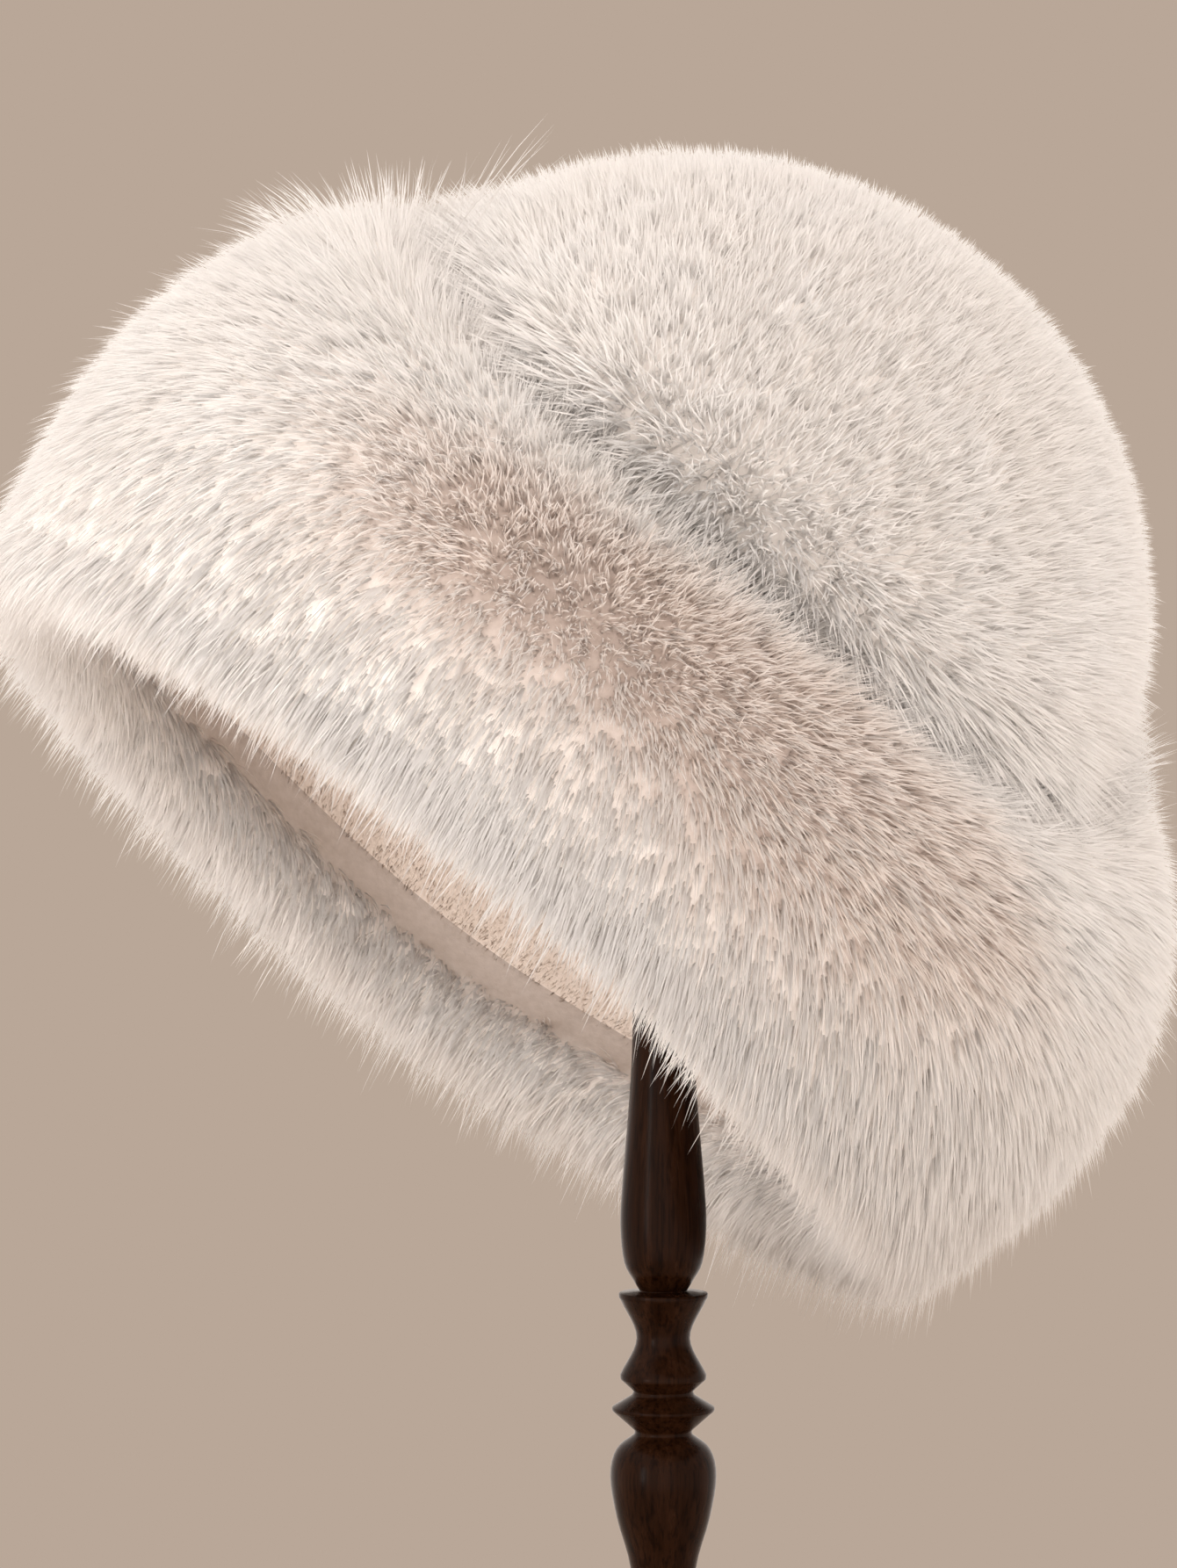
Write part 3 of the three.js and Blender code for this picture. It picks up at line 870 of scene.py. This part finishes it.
class Nodes:
    """A material's node tree, with short ways to add to it."""

    def __init__(self, name: str) -> None:
        """Makes a material with a Principled shader on its output."""
        self.material = bpy.data.materials.new(name)
        self.material.use_nodes = True
        self.tree = self.material.node_tree
        self.shader = self.tree.nodes["Principled BSDF"]

    def add(self, kind: str, **values: object) -> bpy.types.Node:
        """Adds a node and sets its properties."""
        node = self.tree.nodes.new(kind)
        for key, value in values.items():
            setattr(node, key, value)
        return node

    def link(self, output: Socket, target: Socket) -> None:
        """Links two sockets."""
        self.tree.links.new(output, target)

    def attribute(self, trait: Trait) -> bpy.types.Node:
        """A node that reads one of the fur's attributes."""
        return self.add("ShaderNodeAttribute", attribute_type="GEOMETRY", attribute_name=trait.value)

    def ramp(self, factor: Socket, stops: Stops) -> Socket:
        """A colour ramp.

        Args:
            factor: the value that picks a colour.
            stops: the ramp's places and their colours.

        Returns:
            The colour's socket.
        """
        node = self.add("ShaderNodeValToRGB")
        elements = node.color_ramp.elements
        while len(elements) < len(stops):
            elements.new(0.5)
        for element, (place, colour) in zip(elements, stops):
            element.position = place
            element.color = (*colour, 1.0)
        self.link(factor, node.inputs["Fac"])
        return node.outputs["Color"]

    def mix(
        self, factor: Socket | float, first: Socket | Colour, second: Socket | Colour, blend: str = "MIX"
    ) -> Socket:
        """A colour mixed from two others.

        Args:
            factor: how much of the second there is.
            first: the first colour or its socket.
            second: the second colour or its socket.
            blend: how they are mixed.

        Returns:
            The colour's socket.
        """
        node = self.add("ShaderNodeMix", data_type="RGBA", blend_type=blend)
        for value, target in ((factor, node.inputs[0]), (first, node.inputs[6]), (second, node.inputs[7])):
            if isinstance(value, Socket):
                self.link(value, target)
            else:
                target.default_value = value if isinstance(value, float) else (*value, 1.0)
        return node.outputs[2]

    def noise(self, scale: Colour | float, detail: float = 3.0, roughness: float = 0.5) -> Socket:
        """A noise on the object's own coordinates.

        Args:
            scale: how fine it is, with three values where it is stretched.
            detail: how many finer layers it has.
            roughness: how strong the finer layers are.

        Returns:
            The noise's socket.
        """
        place = self.add("ShaderNodeTexCoord").outputs["Object"]
        node = self.add("ShaderNodeTexNoise")
        node.inputs["Detail"].default_value = detail
        node.inputs["Roughness"].default_value = roughness
        if isinstance(scale, tuple):
            mapping = self.add("ShaderNodeMapping")
            mapping.inputs["Scale"].default_value = scale
            self.link(place, mapping.inputs["Vector"])
            place, scale = mapping.outputs["Vector"], 1.0
        self.link(place, node.inputs["Vector"])
        node.inputs["Scale"].default_value = scale
        return node.outputs["Fac"]

    def bump(self, height: Socket, strength: float, distance: float) -> None:
        """A bump on the shader.

        Args:
            height: the bump's height.
            strength: how strong it is.
            distance: how high it is, in metres.
        """
        node = self.add("ShaderNodeBump")
        node.inputs["Strength"].default_value = strength
        node.inputs["Distance"].default_value = distance
        self.link(height, node.inputs["Height"])
        self.link(node.outputs["Normal"], self.shader.inputs["Normal"])

    def let_through(self, colour: Socket, share: float) -> None:
        """Lights each hair by the coat's open side, however its ribbon is turned.

        The shader's normal is the coat's, mirrored in the ribbon where the side in sight faces away from it,
        and a share of the light comes through the ribbon.

        Args:
            colour: the colour that light takes on in the hair.
            share: how much of the light comes through.
        """
        surface = self.attribute(Trait.SURFACE).outputs["Vector"]
        flat = self.add("ShaderNodeNewGeometry").outputs["True Normal"]
        inward = self.add("ShaderNodeVectorMath", operation="SCALE")
        inward.inputs["Scale"].default_value = -1.0
        mirrored = self.add("ShaderNodeVectorMath", operation="REFLECT")
        lean = self.add("ShaderNodeVectorMath", operation="DOT_PRODUCT")
        for node in (mirrored, lean):
            self.link(surface, node.inputs[0])
            self.link(flat, node.inputs[1])
        away = self.add("ShaderNodeMath", operation="LESS_THAN")
        away.inputs[1].default_value = 0.0
        self.link(lean.outputs["Value"], away.inputs[0])
        side = self.add("ShaderNodeMix", data_type="VECTOR")
        self.link(away.outputs["Value"], side.inputs["Factor"])
        self.link(surface, side.inputs[4])
        self.link(mirrored.outputs["Vector"], side.inputs[5])
        self.link(side.outputs[1], self.shader.inputs["Normal"])
        through = self.add("ShaderNodeBsdfTranslucent")
        self.link(surface, inward.inputs[0])
        self.link(inward.outputs["Vector"], through.inputs["Normal"])
        self.link(colour, through.inputs["Color"])
        mixer = self.add("ShaderNodeMixShader")
        mixer.inputs["Fac"].default_value = share
        self.link(self.shader.outputs["BSDF"], mixer.inputs[1])
        self.link(through.outputs["BSDF"], mixer.inputs[2])
        self.link(mixer.outputs["Shader"], self.tree.nodes["Material Output"].inputs["Surface"])

    def set(self, **values: float | Colour) -> None:
        """Sets the shader's own sockets, named with underscores for spaces."""
        for key, value in values.items():
            socket = self.shader.inputs[key.replace("_", " ")]
            socket.default_value = (*value, 1.0) if isinstance(value, tuple) else value


@dataclass(frozen=True)
class FurFinish:
    """White fur whose marked hairs are taupe at the root and pale pink at the tip; the plain hairs run a
    little darker towards the root as painted shade.
    """

    name: str
    # The plain ramp darkens towards the root: painted shade deep in the fur.
    plain: Stops = ((0.0, (0.925, 0.905, 0.885)), (0.45, (0.945, 0.93, 0.915)), (0.9, (0.955, 0.945, 0.935)))
    # The marked ramp also colours the painted shade under the hem.
    marked: Stops = ((0.1, (0.47, 0.39, 0.35)), (0.55, (0.85, 0.77, 0.72)), (0.95, (0.97, 0.93, 0.90)))
    shades: Stops = ((0.0, (0.98, 0.975, 0.97)), (0.7, WHITE))
    patches: Stops = ((0.3, (0.985, 0.975, 0.965)), (0.7, WHITE))
    patch_scale: float = 38.0
    roughness: float = 0.85
    specular: float = 0.05
    translucency: float = 0.57

    def material(self) -> bpy.types.Material:
        """Makes the finish.

        Returns:
            The material.
        """
        nodes = Nodes(self.name)
        reach = nodes.attribute(Trait.REACH).outputs["Fac"]
        # The white ramp's darker root is painted shade.
        white, marked = nodes.ramp(reach, self.plain), nodes.ramp(reach, self.marked)
        coat = nodes.mix(nodes.attribute(Trait.MARKING_AND_SHADE).outputs["Fac"], white, marked)
        shade = nodes.ramp(nodes.attribute(Trait.SHADE).outputs["Fac"], self.shades)
        patches = nodes.ramp(nodes.noise(self.patch_scale, 2.0), self.patches)
        colour = nodes.mix(1.0, nodes.mix(1.0, coat, shade, "MULTIPLY"), patches, "MULTIPLY")
        nodes.link(colour, nodes.shader.inputs["Base Color"])
        nodes.let_through(colour, self.translucency)
        nodes.set(Roughness=self.roughness, Specular_IOR_Level=self.specular)
        return nodes.material


# The plush hairs' ramp also darkens towards the root as painted shade; the beige itself is the plush's
# colour.
PLUSH_FUR = FurFinish(
    "plush_hair", ((0.0, (0.88, 0.79, 0.72)), (0.45, (0.90, 0.82, 0.755)), (0.9, (0.92, 0.85, 0.79)))
)


@dataclass(frozen=True)
class WoolFinish:
    """A woolly ground, seen between hairs, with a second colouring where it is marked."""

    name: str
    plain: Stops
    marked: Stops = ()
    grain: float = 420.0
    relief: float = 0.25
    relief_height: float = 0.0008
    roughness: float = 0.95
    specular: float = 0.15

    def material(self) -> bpy.types.Material:
        """Makes the finish.

        Returns:
            The material.
        """
        nodes = Nodes(self.name)
        wool = nodes.noise(self.grain, 4.0, 0.6)
        colour = nodes.ramp(wool, self.plain)
        if self.marked:
            marking = nodes.attribute(Trait.MARKING_AND_SHADE).outputs["Fac"]
            colour = nodes.mix(marking, colour, nodes.ramp(wool, self.marked))
        nodes.link(colour, nodes.shader.inputs["Base Color"])
        nodes.bump(wool, self.relief, self.relief_height)
        nodes.set(Roughness=self.roughness, Specular_IOR_Level=self.specular)
        return nodes.material


# Painted shade: the plain under-fur is greyer and darker than the white hair, standing for the shade deep in
# the fur; the marked colours are the taupe under-fur.
SHADED_UNDER_FUR = WoolFinish(
    "shaded_under_fur",
    ((0.35, (0.82, 0.78, 0.745)), (0.65, (0.86, 0.825, 0.795))),
    ((0.35, (0.55, 0.47, 0.425)), (0.65, (0.66, 0.575, 0.53))),
)
PLUSH_GROUND = WoolFinish(
    "plush_ground", ((0.35, (0.87, 0.775, 0.70)), (0.65, (0.91, 0.82, 0.75))), grain=700.0, relief=0.5
)


@dataclass(frozen=True)
class PeltFinish:
    """The undyed skin side of the fur, soft as suede."""

    name: str = "suede_pelt"
    clouds: Stops = ((0.3, (0.72, 0.62, 0.53)), (0.7, (0.80, 0.70, 0.62)))
    cloud_scale: float = 46.0
    nap: Stops = ((0.3, (0.86, 0.84, 0.82)), (0.7, WHITE))
    nap_scale: float = 1600.0
    relief: Span = (0.35, 0.0004)
    roughness: float = 0.9
    sheen: float = 0.2
    sheen_roughness: float = 0.5

    def material(self) -> bpy.types.Material:
        """Makes the finish.

        Returns:
            The material.
        """
        nodes = Nodes(self.name)
        cloud, nap = nodes.noise(self.cloud_scale, 4.0, 0.6), nodes.noise(self.nap_scale, 3.0, 0.7)
        colour = nodes.mix(1.0, nodes.ramp(cloud, self.clouds), nodes.ramp(nap, self.nap), "MULTIPLY")
        nodes.link(colour, nodes.shader.inputs["Base Color"])
        nodes.bump(nap, *self.relief)
        nodes.set(Roughness=self.roughness, Sheen_Weight=self.sheen, Sheen_Roughness=self.sheen_roughness)
        return nodes.material


@dataclass(frozen=True)
class WoodFinish:
    """Turned hardwood, stained almost black-brown and lacquered."""

    name: str = "stained_wood"
    grain: Stops = ((0.32, (0.009, 0.003, 0.001)), (0.68, (0.023, 0.0085, 0.0035)))
    grain_scale: Colour = (260.0, 260.0, 14.0)
    pores: Stops = ((0.36, (0.45, 0.42, 0.40)), (0.52, WHITE))
    pore_scale: Colour = (900.0, 900.0, 36.0)
    relief: Span = (0.12, 0.0002)
    roughness: Span = (0.18, 0.34)
    specular: float = 0.04

    def material(self) -> bpy.types.Material:
        """Makes the finish.

        Returns:
            The material.
        """
        nodes = Nodes(self.name)
        grain, pores = nodes.noise(self.grain_scale, 5.0, 0.6), nodes.noise(self.pore_scale, 3.0, 0.6)
        colour = nodes.mix(1.0, nodes.ramp(grain, self.grain), nodes.ramp(pores, self.pores), "MULTIPLY")
        nodes.link(colour, nodes.shader.inputs["Base Color"])
        gloss = nodes.add("ShaderNodeMapRange")
        gloss.inputs["To Min"].default_value, gloss.inputs["To Max"].default_value = self.roughness
        nodes.link(grain, gloss.inputs["Value"])
        nodes.link(gloss.outputs["Result"], nodes.shader.inputs["Roughness"])
        nodes.bump(pores, *self.relief)
        nodes.set(Specular_IOR_Level=self.specular)
        return nodes.material


def dressed(piece: Body, material: bpy.types.Material, slot: Slot, *nodes: str) -> Body:
    """Gives a new piece its finish and body, and hides the CAD nodes that it stands for.

    Args:
        piece: the new piece.
        material: its finish.
        slot: the record's slot for that finish; not used.
        nodes: the CAD nodes that it replaces.

    Returns:
        The piece.
    """
    piece.data.materials.clear()
    piece.data.materials.append(material)
    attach(piece, "root")
    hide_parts(*nodes)
    triangles = sum(len(polygon.vertices) - 2 for polygon in piece.data.polygons)
    LOG.info("%s: %d triangles", piece.name, triangles)
    return piece


@dataclass(frozen=True)
class Sheet:
    """A smooth closed-round surface over a coat, from a grid bent round the hat."""

    name: str
    coat: Coat
    columns: int = 180
    rows: int = 48

    def build(self) -> Body:
        """Makes the sheet, with its marking, painted shade under the hem included, and bake map.

        Returns:
            The piece.
        """
        shape = bmesh.new()
        shape.loops.layers.uv.new(BAKE_UV)
        bmesh.ops.create_grid(shape, x_segments=self.columns, y_segments=self.rows, size=0.5, calc_uvs=True)
        mesh = meshed(self.name, shape)
        flat = np.empty(len(mesh.vertices) * 3)
        mesh.vertices.foreach_get("co", flat)
        flat = flat.reshape(-1, 3)
        turn, part = (flat[:, 0] + 0.5) * TURN, flat[:, 1] + 0.5
        mesh.vertices.foreach_set("co", self.coat.at(turn, part, self.coat.ground(turn, part)).ravel())
        marked = mesh.attributes.new(Trait.MARKING_AND_SHADE.value, "FLOAT", "POINT")
        marked.data.foreach_set("value", self.coat.marking(turn, part).astype(np.float32))
        shape = bmesh.new()
        shape.from_mesh(mesh)
        bmesh.ops.remove_doubles(shape, verts=shape.verts, dist=MERGE)
        bmesh.ops.recalc_face_normals(shape, faces=shape.faces)
        shape.to_mesh(mesh)
        shape.free()
        return linked(self.name, mesh)


@dataclass(frozen=True)
class Hat:
    """The fur hat: its crown's and brim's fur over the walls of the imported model."""

    crown: CrownCoat = field(default_factory=lambda: CrownCoat(nap=0.0035, droop=0.1, comb=0.3))
    brim: BrimCoat = field(default_factory=lambda: BrimCoat(nap=0.005, droop=0.25))
    facing: FacingCoat = field(
        default_factory=lambda: FacingCoat(nap=0.002, droop=0.1, comb=1.6, plain_ground=1.0)
    )
    rooted: float = 0.55
    crown_rooted: float = 0.6
    hair_foot: float = 0.925
    crown_hairs: int = 84000
    brim_hairs: int = 160000
    tuft_hairs: int = 900
    hem_tuft_hairs: int = 3600
    facing_hairs: int = 60000

    def build(self) -> None:
        """Makes and dresses the hat's pieces."""
        white, marked = FurFinish("crown_hair").material(), FurFinish("brim_hair").material()
        # The under-fur's darker plain colours are painted shade.
        wool = SHADED_UNDER_FUR.material()
        suede = PeltFinish().material()
        for node in ("crown_wall", "brim_wall"):
            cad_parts[node].data.materials.clear()
            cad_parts[node].data.materials.append(suede)
        dressed(Sheet("crown_underfur", self.crown).build(), wool, Slot.WHITE_FUR, "crown_fur")
        dressed(Sheet("brim_underfur", self.brim, rows=72).build(), wool, Slot.MARKED_FUR, "brim_fur")
        self.build_facing()
        crown = Pile(
            self.crown,
            (Sector("crown_pile_far", 0, 180), Sector("crown_pile_near", 180, 360)),
            hairs=self.crown_hairs,
            per_clump=12,
            seed=11,
            root_share=self.crown_rooted,
            hairs_of=(FUZZ_HAIR,),
        )
        for piece in crown.build():
            dressed(piece, white, Slot.WHITE_FUR, "crown_fur")
        quarters = enumerate(("far_low", "far_high", "near_high", "near_low"))
        brim = Pile(
            self.brim,
            tuple(
                Sector(f"brim_pile_{name}", 90 * index, 90 * index + 90, foot=self.hair_foot)
                for index, name in quarters
            ),
            hairs=self.brim_hairs,
            per_clump=14,
            seed=23,
            root_share=self.rooted,
        )
        tufts = Pile(
            self.brim,
            (Sector("brim_tufts", 150, 228, 0.0, 0.26),),
            hairs=self.tuft_hairs,
            per_clump=8,
            seed=41,
            root_share=self.rooted,
            hairs_of=(TUFT_HAIR,),
        )
        hem_tufts = Pile(
            self.brim,
            (Sector("hem_tufts", 0, 360, 0.74, 0.90),),
            hairs=self.hem_tuft_hairs,
            per_clump=6,
            seed=43,
            root_share=self.rooted,
            hairs_of=(HEM_TUFT_HAIR,),
        )
        for piece in brim.build() + tufts.build() + hem_tufts.build():
            dressed(piece, marked, Slot.MARKED_FUR, "brim_fur")

    def build_facing(self) -> None:
        """Makes and dresses the plush facing under the brim, with its short pile."""
        band = Sheet("brim_plush", self.facing, rows=36).build()
        dressed(band, PLUSH_GROUND.material(), Slot.PLUSH_FACING, "brim_facing")
        pile = Pile(
            self.facing,
            (Sector("brim_plush_pile", 0, 360, 0.01, 0.49),),
            hairs=self.facing_hairs,
            per_clump=12,
            seed=5,
            root_share=0.8,
            sunk=0.0004,
            hairs_of=(PLUSH_HAIR,),
        )
        for piece in pile.build():
            dressed(piece, PLUSH_FUR.material(), Slot.PLUSH_FACING, "brim_facing")


class Knot(NamedTuple):
    """A place on a turning's outline, in metres."""

    height: float
    radius: float


@dataclass(frozen=True)
class Turning:
    """One smooth run of a turned outline; a new one starts at a sharp edge."""

    name: str
    knots: tuple[Knot, ...]
    steps: int = 4

    def outline(self) -> Outline:
        """The turning's outline through its knots.

        Returns:
            Pairs of a radius and a height.
        """
        rows = np.array(self.knots)
        padded = np.concatenate([rows[:1] * 2 - rows[1:2], rows, rows[-1:] * 2 - rows[-2:-1]])
        points = []
        for index in range(len(rows) - 1):
            for part in np.arange(self.steps) / self.steps:
                height, radius = spline(*padded[index : index + 4], part)
                points.append((radius, height))
        return [*points, (self.knots[-1].radius, self.knots[-1].height)]


POST_TURNINGS = (
    Turning("foot flare", (Knot(0.0243, 0.019), Knot(0.032, 0.0115), Knot(0.044, 0.008))),
    Turning("foot bead", (Knot(0.046, 0.008), Knot(0.051, 0.0122), Knot(0.056, 0.008)), 6),
    Turning(
        "vase",
        (
            Knot(0.062, 0.0072),
            Knot(0.082, 0.0086),
            Knot(0.096, 0.0124),
            Knot(0.107, 0.0141),
            Knot(0.114, 0.0124),
            Knot(0.118, 0.0076),
        ),
    ),
    Turning("ring", (Knot(0.119, 0.0076), Knot(0.1243, 0.0136)), 1),
    Turning("ring top", (Knot(0.1251, 0.0136), Knot(0.1284, 0.0082)), 1),
    Turning("spool foot", (Knot(0.1294, 0.0079), Knot(0.1326, 0.0114)), 1),
    Turning("spool", (Knot(0.1338, 0.0114), Knot(0.1435, 0.0071), Knot(0.1536, 0.0114)), 6),
    Turning("spool lip", (Knot(0.1542, 0.0118), Knot(0.1554, 0.0118)), 1),
    Turning(
        "long taper",
        (
            Knot(0.1559, 0.0062),
            Knot(0.1588, 0.008),
            Knot(0.1635, 0.0104),
            Knot(0.173, 0.0114),
            Knot(0.184, 0.0109),
            Knot(0.203, 0.0093),
            Knot(0.226, 0.0081),
            Knot(0.290, 0.007),
            Knot(0.353, 0.0066),
        ),
    ),
)


@dataclass(frozen=True)
class Stand:
    """The turned hat stand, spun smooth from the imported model's outlines."""

    sides: int = 72
    edge: float = 0.0003
    edge_angle: float = 28.0
    head_bottom: float = 0.3533
    head_flat: float = 0.022
    head_radius: float = 0.055
    head_centre: float = 0.3817
    brow_steps: int = 10
    dome_steps: int = 20
    foot_radius: float = 0.088
    foot_chamfer: float = 0.002
    foot_edge: float = 0.009
    foot_shoulder: Span = (0.078, 0.014)
    foot_boss: Span = (0.024, 0.024)
    ogee_bends: Span = (0.4, 0.75)
    corner_steps: Series = (0.33, 0.67, 1.0)
    ogee_steps: int = 16

    def spun(self, name: str, outline: Outline) -> Body:
        """Spins an outline about the post's axis into a closed body.

        Args:
            name: the piece's name.
            outline: pairs of a radius and a height, from the lowest to the highest.

        Returns:
            The piece.
        """
        shape = bmesh.new()
        closed = [(0.0, outline[0][1]), *outline, (0.0, outline[-1][1])]
        verts = [shape.verts.new((radius, 0.0, height)) for radius, height in closed]
        edges = [shape.edges.new(pair) for pair in zip(verts, verts[1:])]
        bmesh.ops.spin(
            shape,
            geom=[*verts, *edges],
            cent=(0.0, 0.0, 0.0),
            axis=(0.0, 0.0, 1.0),
            angle=TURN,
            steps=self.sides,
            use_merge=True,
        )
        bmesh.ops.remove_doubles(shape, verts=shape.verts, dist=MERGE)
        bmesh.ops.recalc_face_normals(shape, faces=shape.faces)
        limit = math.radians(self.edge_angle)
        bmesh.ops.bevel(
            shape,
            geom=[edge for edge in shape.edges if edge.is_manifold and edge.calc_face_angle() > limit],
            offset=self.edge,
            segments=2,
            profile=0.5,
            affect="EDGES",
            material=-1,
            clamp_overlap=True,
        )
        return linked(name, meshed(name, shape))

    def build(self) -> None:
        """Makes and dresses the stand's pieces."""
        wood = WoodFinish().material()
        post = [point for turning in POST_TURNINGS for point in turning.outline()]
        dressed(self.spun("turned_post", post), wood, Slot.DARK_WOOD, "stand_post")
        dressed(self.spun("turned_head", self.head()), wood, Slot.DARK_WOOD, "stand_head")
        dressed(self.spun("turned_foot", self.foot()), wood, Slot.DARK_WOOD, "stand_foot")

    def head(self) -> Outline:
        """The head's outline: a flat underside, a rounded brow and a half-round dome.

        Returns:
            Pairs of a radius and a height.
        """
        flat, radius, centre = self.head_flat, self.head_radius, self.head_centre
        depth = centre - self.head_bottom
        brow = [0.25 * TURN * index / self.brow_steps for index in range(self.brow_steps)]
        dome = [0.25 * TURN * index / self.dome_steps for index in range(self.dome_steps)]
        points = [(flat + (radius - flat) * math.sin(a), centre - depth * math.cos(a)) for a in brow]
        return points + [(radius * math.cos(a), centre + radius * math.sin(a)) for a in dome]

    def foot(self) -> Outline:
        """The foot's outline: a thin round edge that swells in an ogee to the post's boss.

        Returns:
            Pairs of a radius and a height.
        """
        reach = self.foot_radius
        (shoulder, top), (boss, rise) = self.foot_shoulder, self.foot_boss
        points = [(reach - self.foot_chamfer, 0.0), (reach, self.foot_chamfer), (reach, self.foot_edge)]
        for part in self.corner_steps:
            points.append((bezier((reach, reach, shoulder), part), bezier((self.foot_edge, top, top), part)))
        bends = [mixed(shoulder, boss, bend) for bend in self.ogee_bends]
        for index in range(1, self.ogee_steps + 1):
            part = index / self.ogee_steps
            points.append((bezier((shoulder, *bends, boss), part), bezier((top, top, rise, rise), part)))
        return points


class Lamp(NamedTuple):
    """A soft oblong lamp."""

    name: str
    place: tuple[float, float, float]
    wide: float
    tall: float
    power: float
    colour: Colour


@dataclass(frozen=True)
class Studio:
    """The plain pale floor, the soft light and the camera at the photograph's angle."""

    eye: tuple[float, float, float] = (-0.0198, -1.153, 0.290)
    lens: float = 100.0
    sensor: float = 36.0
    backdrop: Colour = (0.485, 0.386, 0.314)
    fill: Colour = (1.0, 0.90, 0.83)
    fill_strength: float = 1.47
    aim: tuple[float, float, float] = (0.0, 0.0, 0.33)
    lamps: tuple[Lamp, ...] = (
        Lamp("key_light", (-1.7, -1.2, 2.1), 2.6, 2.6, 11.0, (0.96, 0.98, 1.0)),
        Lamp("low_light", (-0.2, -1.1, 0.0), 1.4, 1.4, 4.0, (1.0, 0.93, 0.88)),
        Lamp("strip_light", (-0.8, -0.8, 0.2), 0.05, 0.5, 2.2, (1.0, 0.93, 0.88)),
    )
    floor_radius: float = 0.45
    floor_fade: float = 0.30
    floor_sides: int = 96
    floor_drop: float = 0.0005
    floor_colour: Colour = (0.66, 0.585, 0.52)
    floor_roughness: float = 0.9

    def build(self) -> None:
        """Makes the studio."""
        bpy.context.scene.view_settings.view_transform = "Standard"
        bpy.context.scene.view_settings.look = "None"
        self.camera()
        self.world()
        self.floor()
        for lamp in self.lamps:
            self.hang(lamp)

    def camera(self) -> None:
        """Makes the camera."""
        data = bpy.data.cameras.new("photo_camera")
        data.lens, data.sensor_width, data.sensor_fit = self.lens, self.sensor, "AUTO"
        camera = linked("photo_camera", data)
        camera.location = self.eye
        camera.rotation_euler = (0.25 * TURN, 0.0, 0.0)
        bpy.context.scene.camera = camera

    def hang(self, lamp: Lamp) -> None:
        """Makes one soft oblong lamp that faces the hat.

        Args:
            lamp: its place, size and light.
        """
        data = bpy.data.lights.new(lamp.name, "AREA")
        data.shape, data.size, data.size_y = "RECTANGLE", lamp.wide, lamp.tall
        data.energy, data.color = lamp.power, lamp.colour
        body = linked(lamp.name, data)
        body.location = lamp.place
        body.visible_camera = False
        aim = Vector(self.aim) - Vector(lamp.place)
        body.rotation_euler = aim.to_track_quat("-Z", "Y").to_euler()

    def world(self) -> None:
        """Makes the beige backdrop that the camera sees and the paler fill that lights the hat."""
        world = bpy.data.worlds.new("studio")
        bpy.context.scene.world = world
        world.use_nodes = True
        tree = world.node_tree
        tree.nodes.clear()
        seen, fill = tree.nodes.new("ShaderNodeBackground"), tree.nodes.new("ShaderNodeBackground")
        seen.inputs["Color"].default_value = (*self.backdrop, 1.0)
        fill.inputs["Color"].default_value = (*self.fill, 1.0)
        fill.inputs["Strength"].default_value = self.fill_strength
        rays, mixer = tree.nodes.new("ShaderNodeLightPath"), tree.nodes.new("ShaderNodeMixShader")
        tree.links.new(rays.outputs["Is Camera Ray"], mixer.inputs[0])
        tree.links.new(fill.outputs[0], mixer.inputs[1])
        tree.links.new(seen.outputs[0], mixer.inputs[2])
        tree.links.new(mixer.outputs[0], tree.nodes.new("ShaderNodeOutputWorld").inputs["Surface"])

    def floor(self) -> None:
        """Makes the pale round floor, whose rim fades into the backdrop."""
        shape = bmesh.new()
        bmesh.ops.create_circle(shape, cap_ends=True, radius=self.floor_radius, segments=self.floor_sides)
        floor = linked("floor", meshed("floor", shape))
        floor.location.z = -self.floor_drop
        nodes = Nodes("pale_floor")
        place = nodes.add("ShaderNodeTexCoord").outputs["Object"]
        length = nodes.add("ShaderNodeVectorMath", operation="LENGTH")
        nodes.link(place, length.inputs[0])
        fade = nodes.add("ShaderNodeMapRange", interpolation_type="SMOOTHSTEP")
        fade.inputs["From Min"].default_value = self.floor_fade
        fade.inputs["From Max"].default_value = self.floor_radius
        fade.inputs["To Min"].default_value = 1.0
        fade.inputs["To Max"].default_value = 0.0
        nodes.link(length.outputs["Value"], fade.inputs["Value"])
        nodes.link(fade.outputs["Result"], nodes.shader.inputs["Alpha"])
        nodes.set(Base_Color=self.floor_colour, Roughness=self.floor_roughness)
        floor.data.materials.append(nodes.material)


def main() -> None:
    """Builds the studio, the stand and the hat."""
    logging.basicConfig(level=logging.INFO, format="%(name)s: %(message)s")
    Studio().build()
    Stand().build()
    Hat().build()


if __name__ == "__main__":
    main()
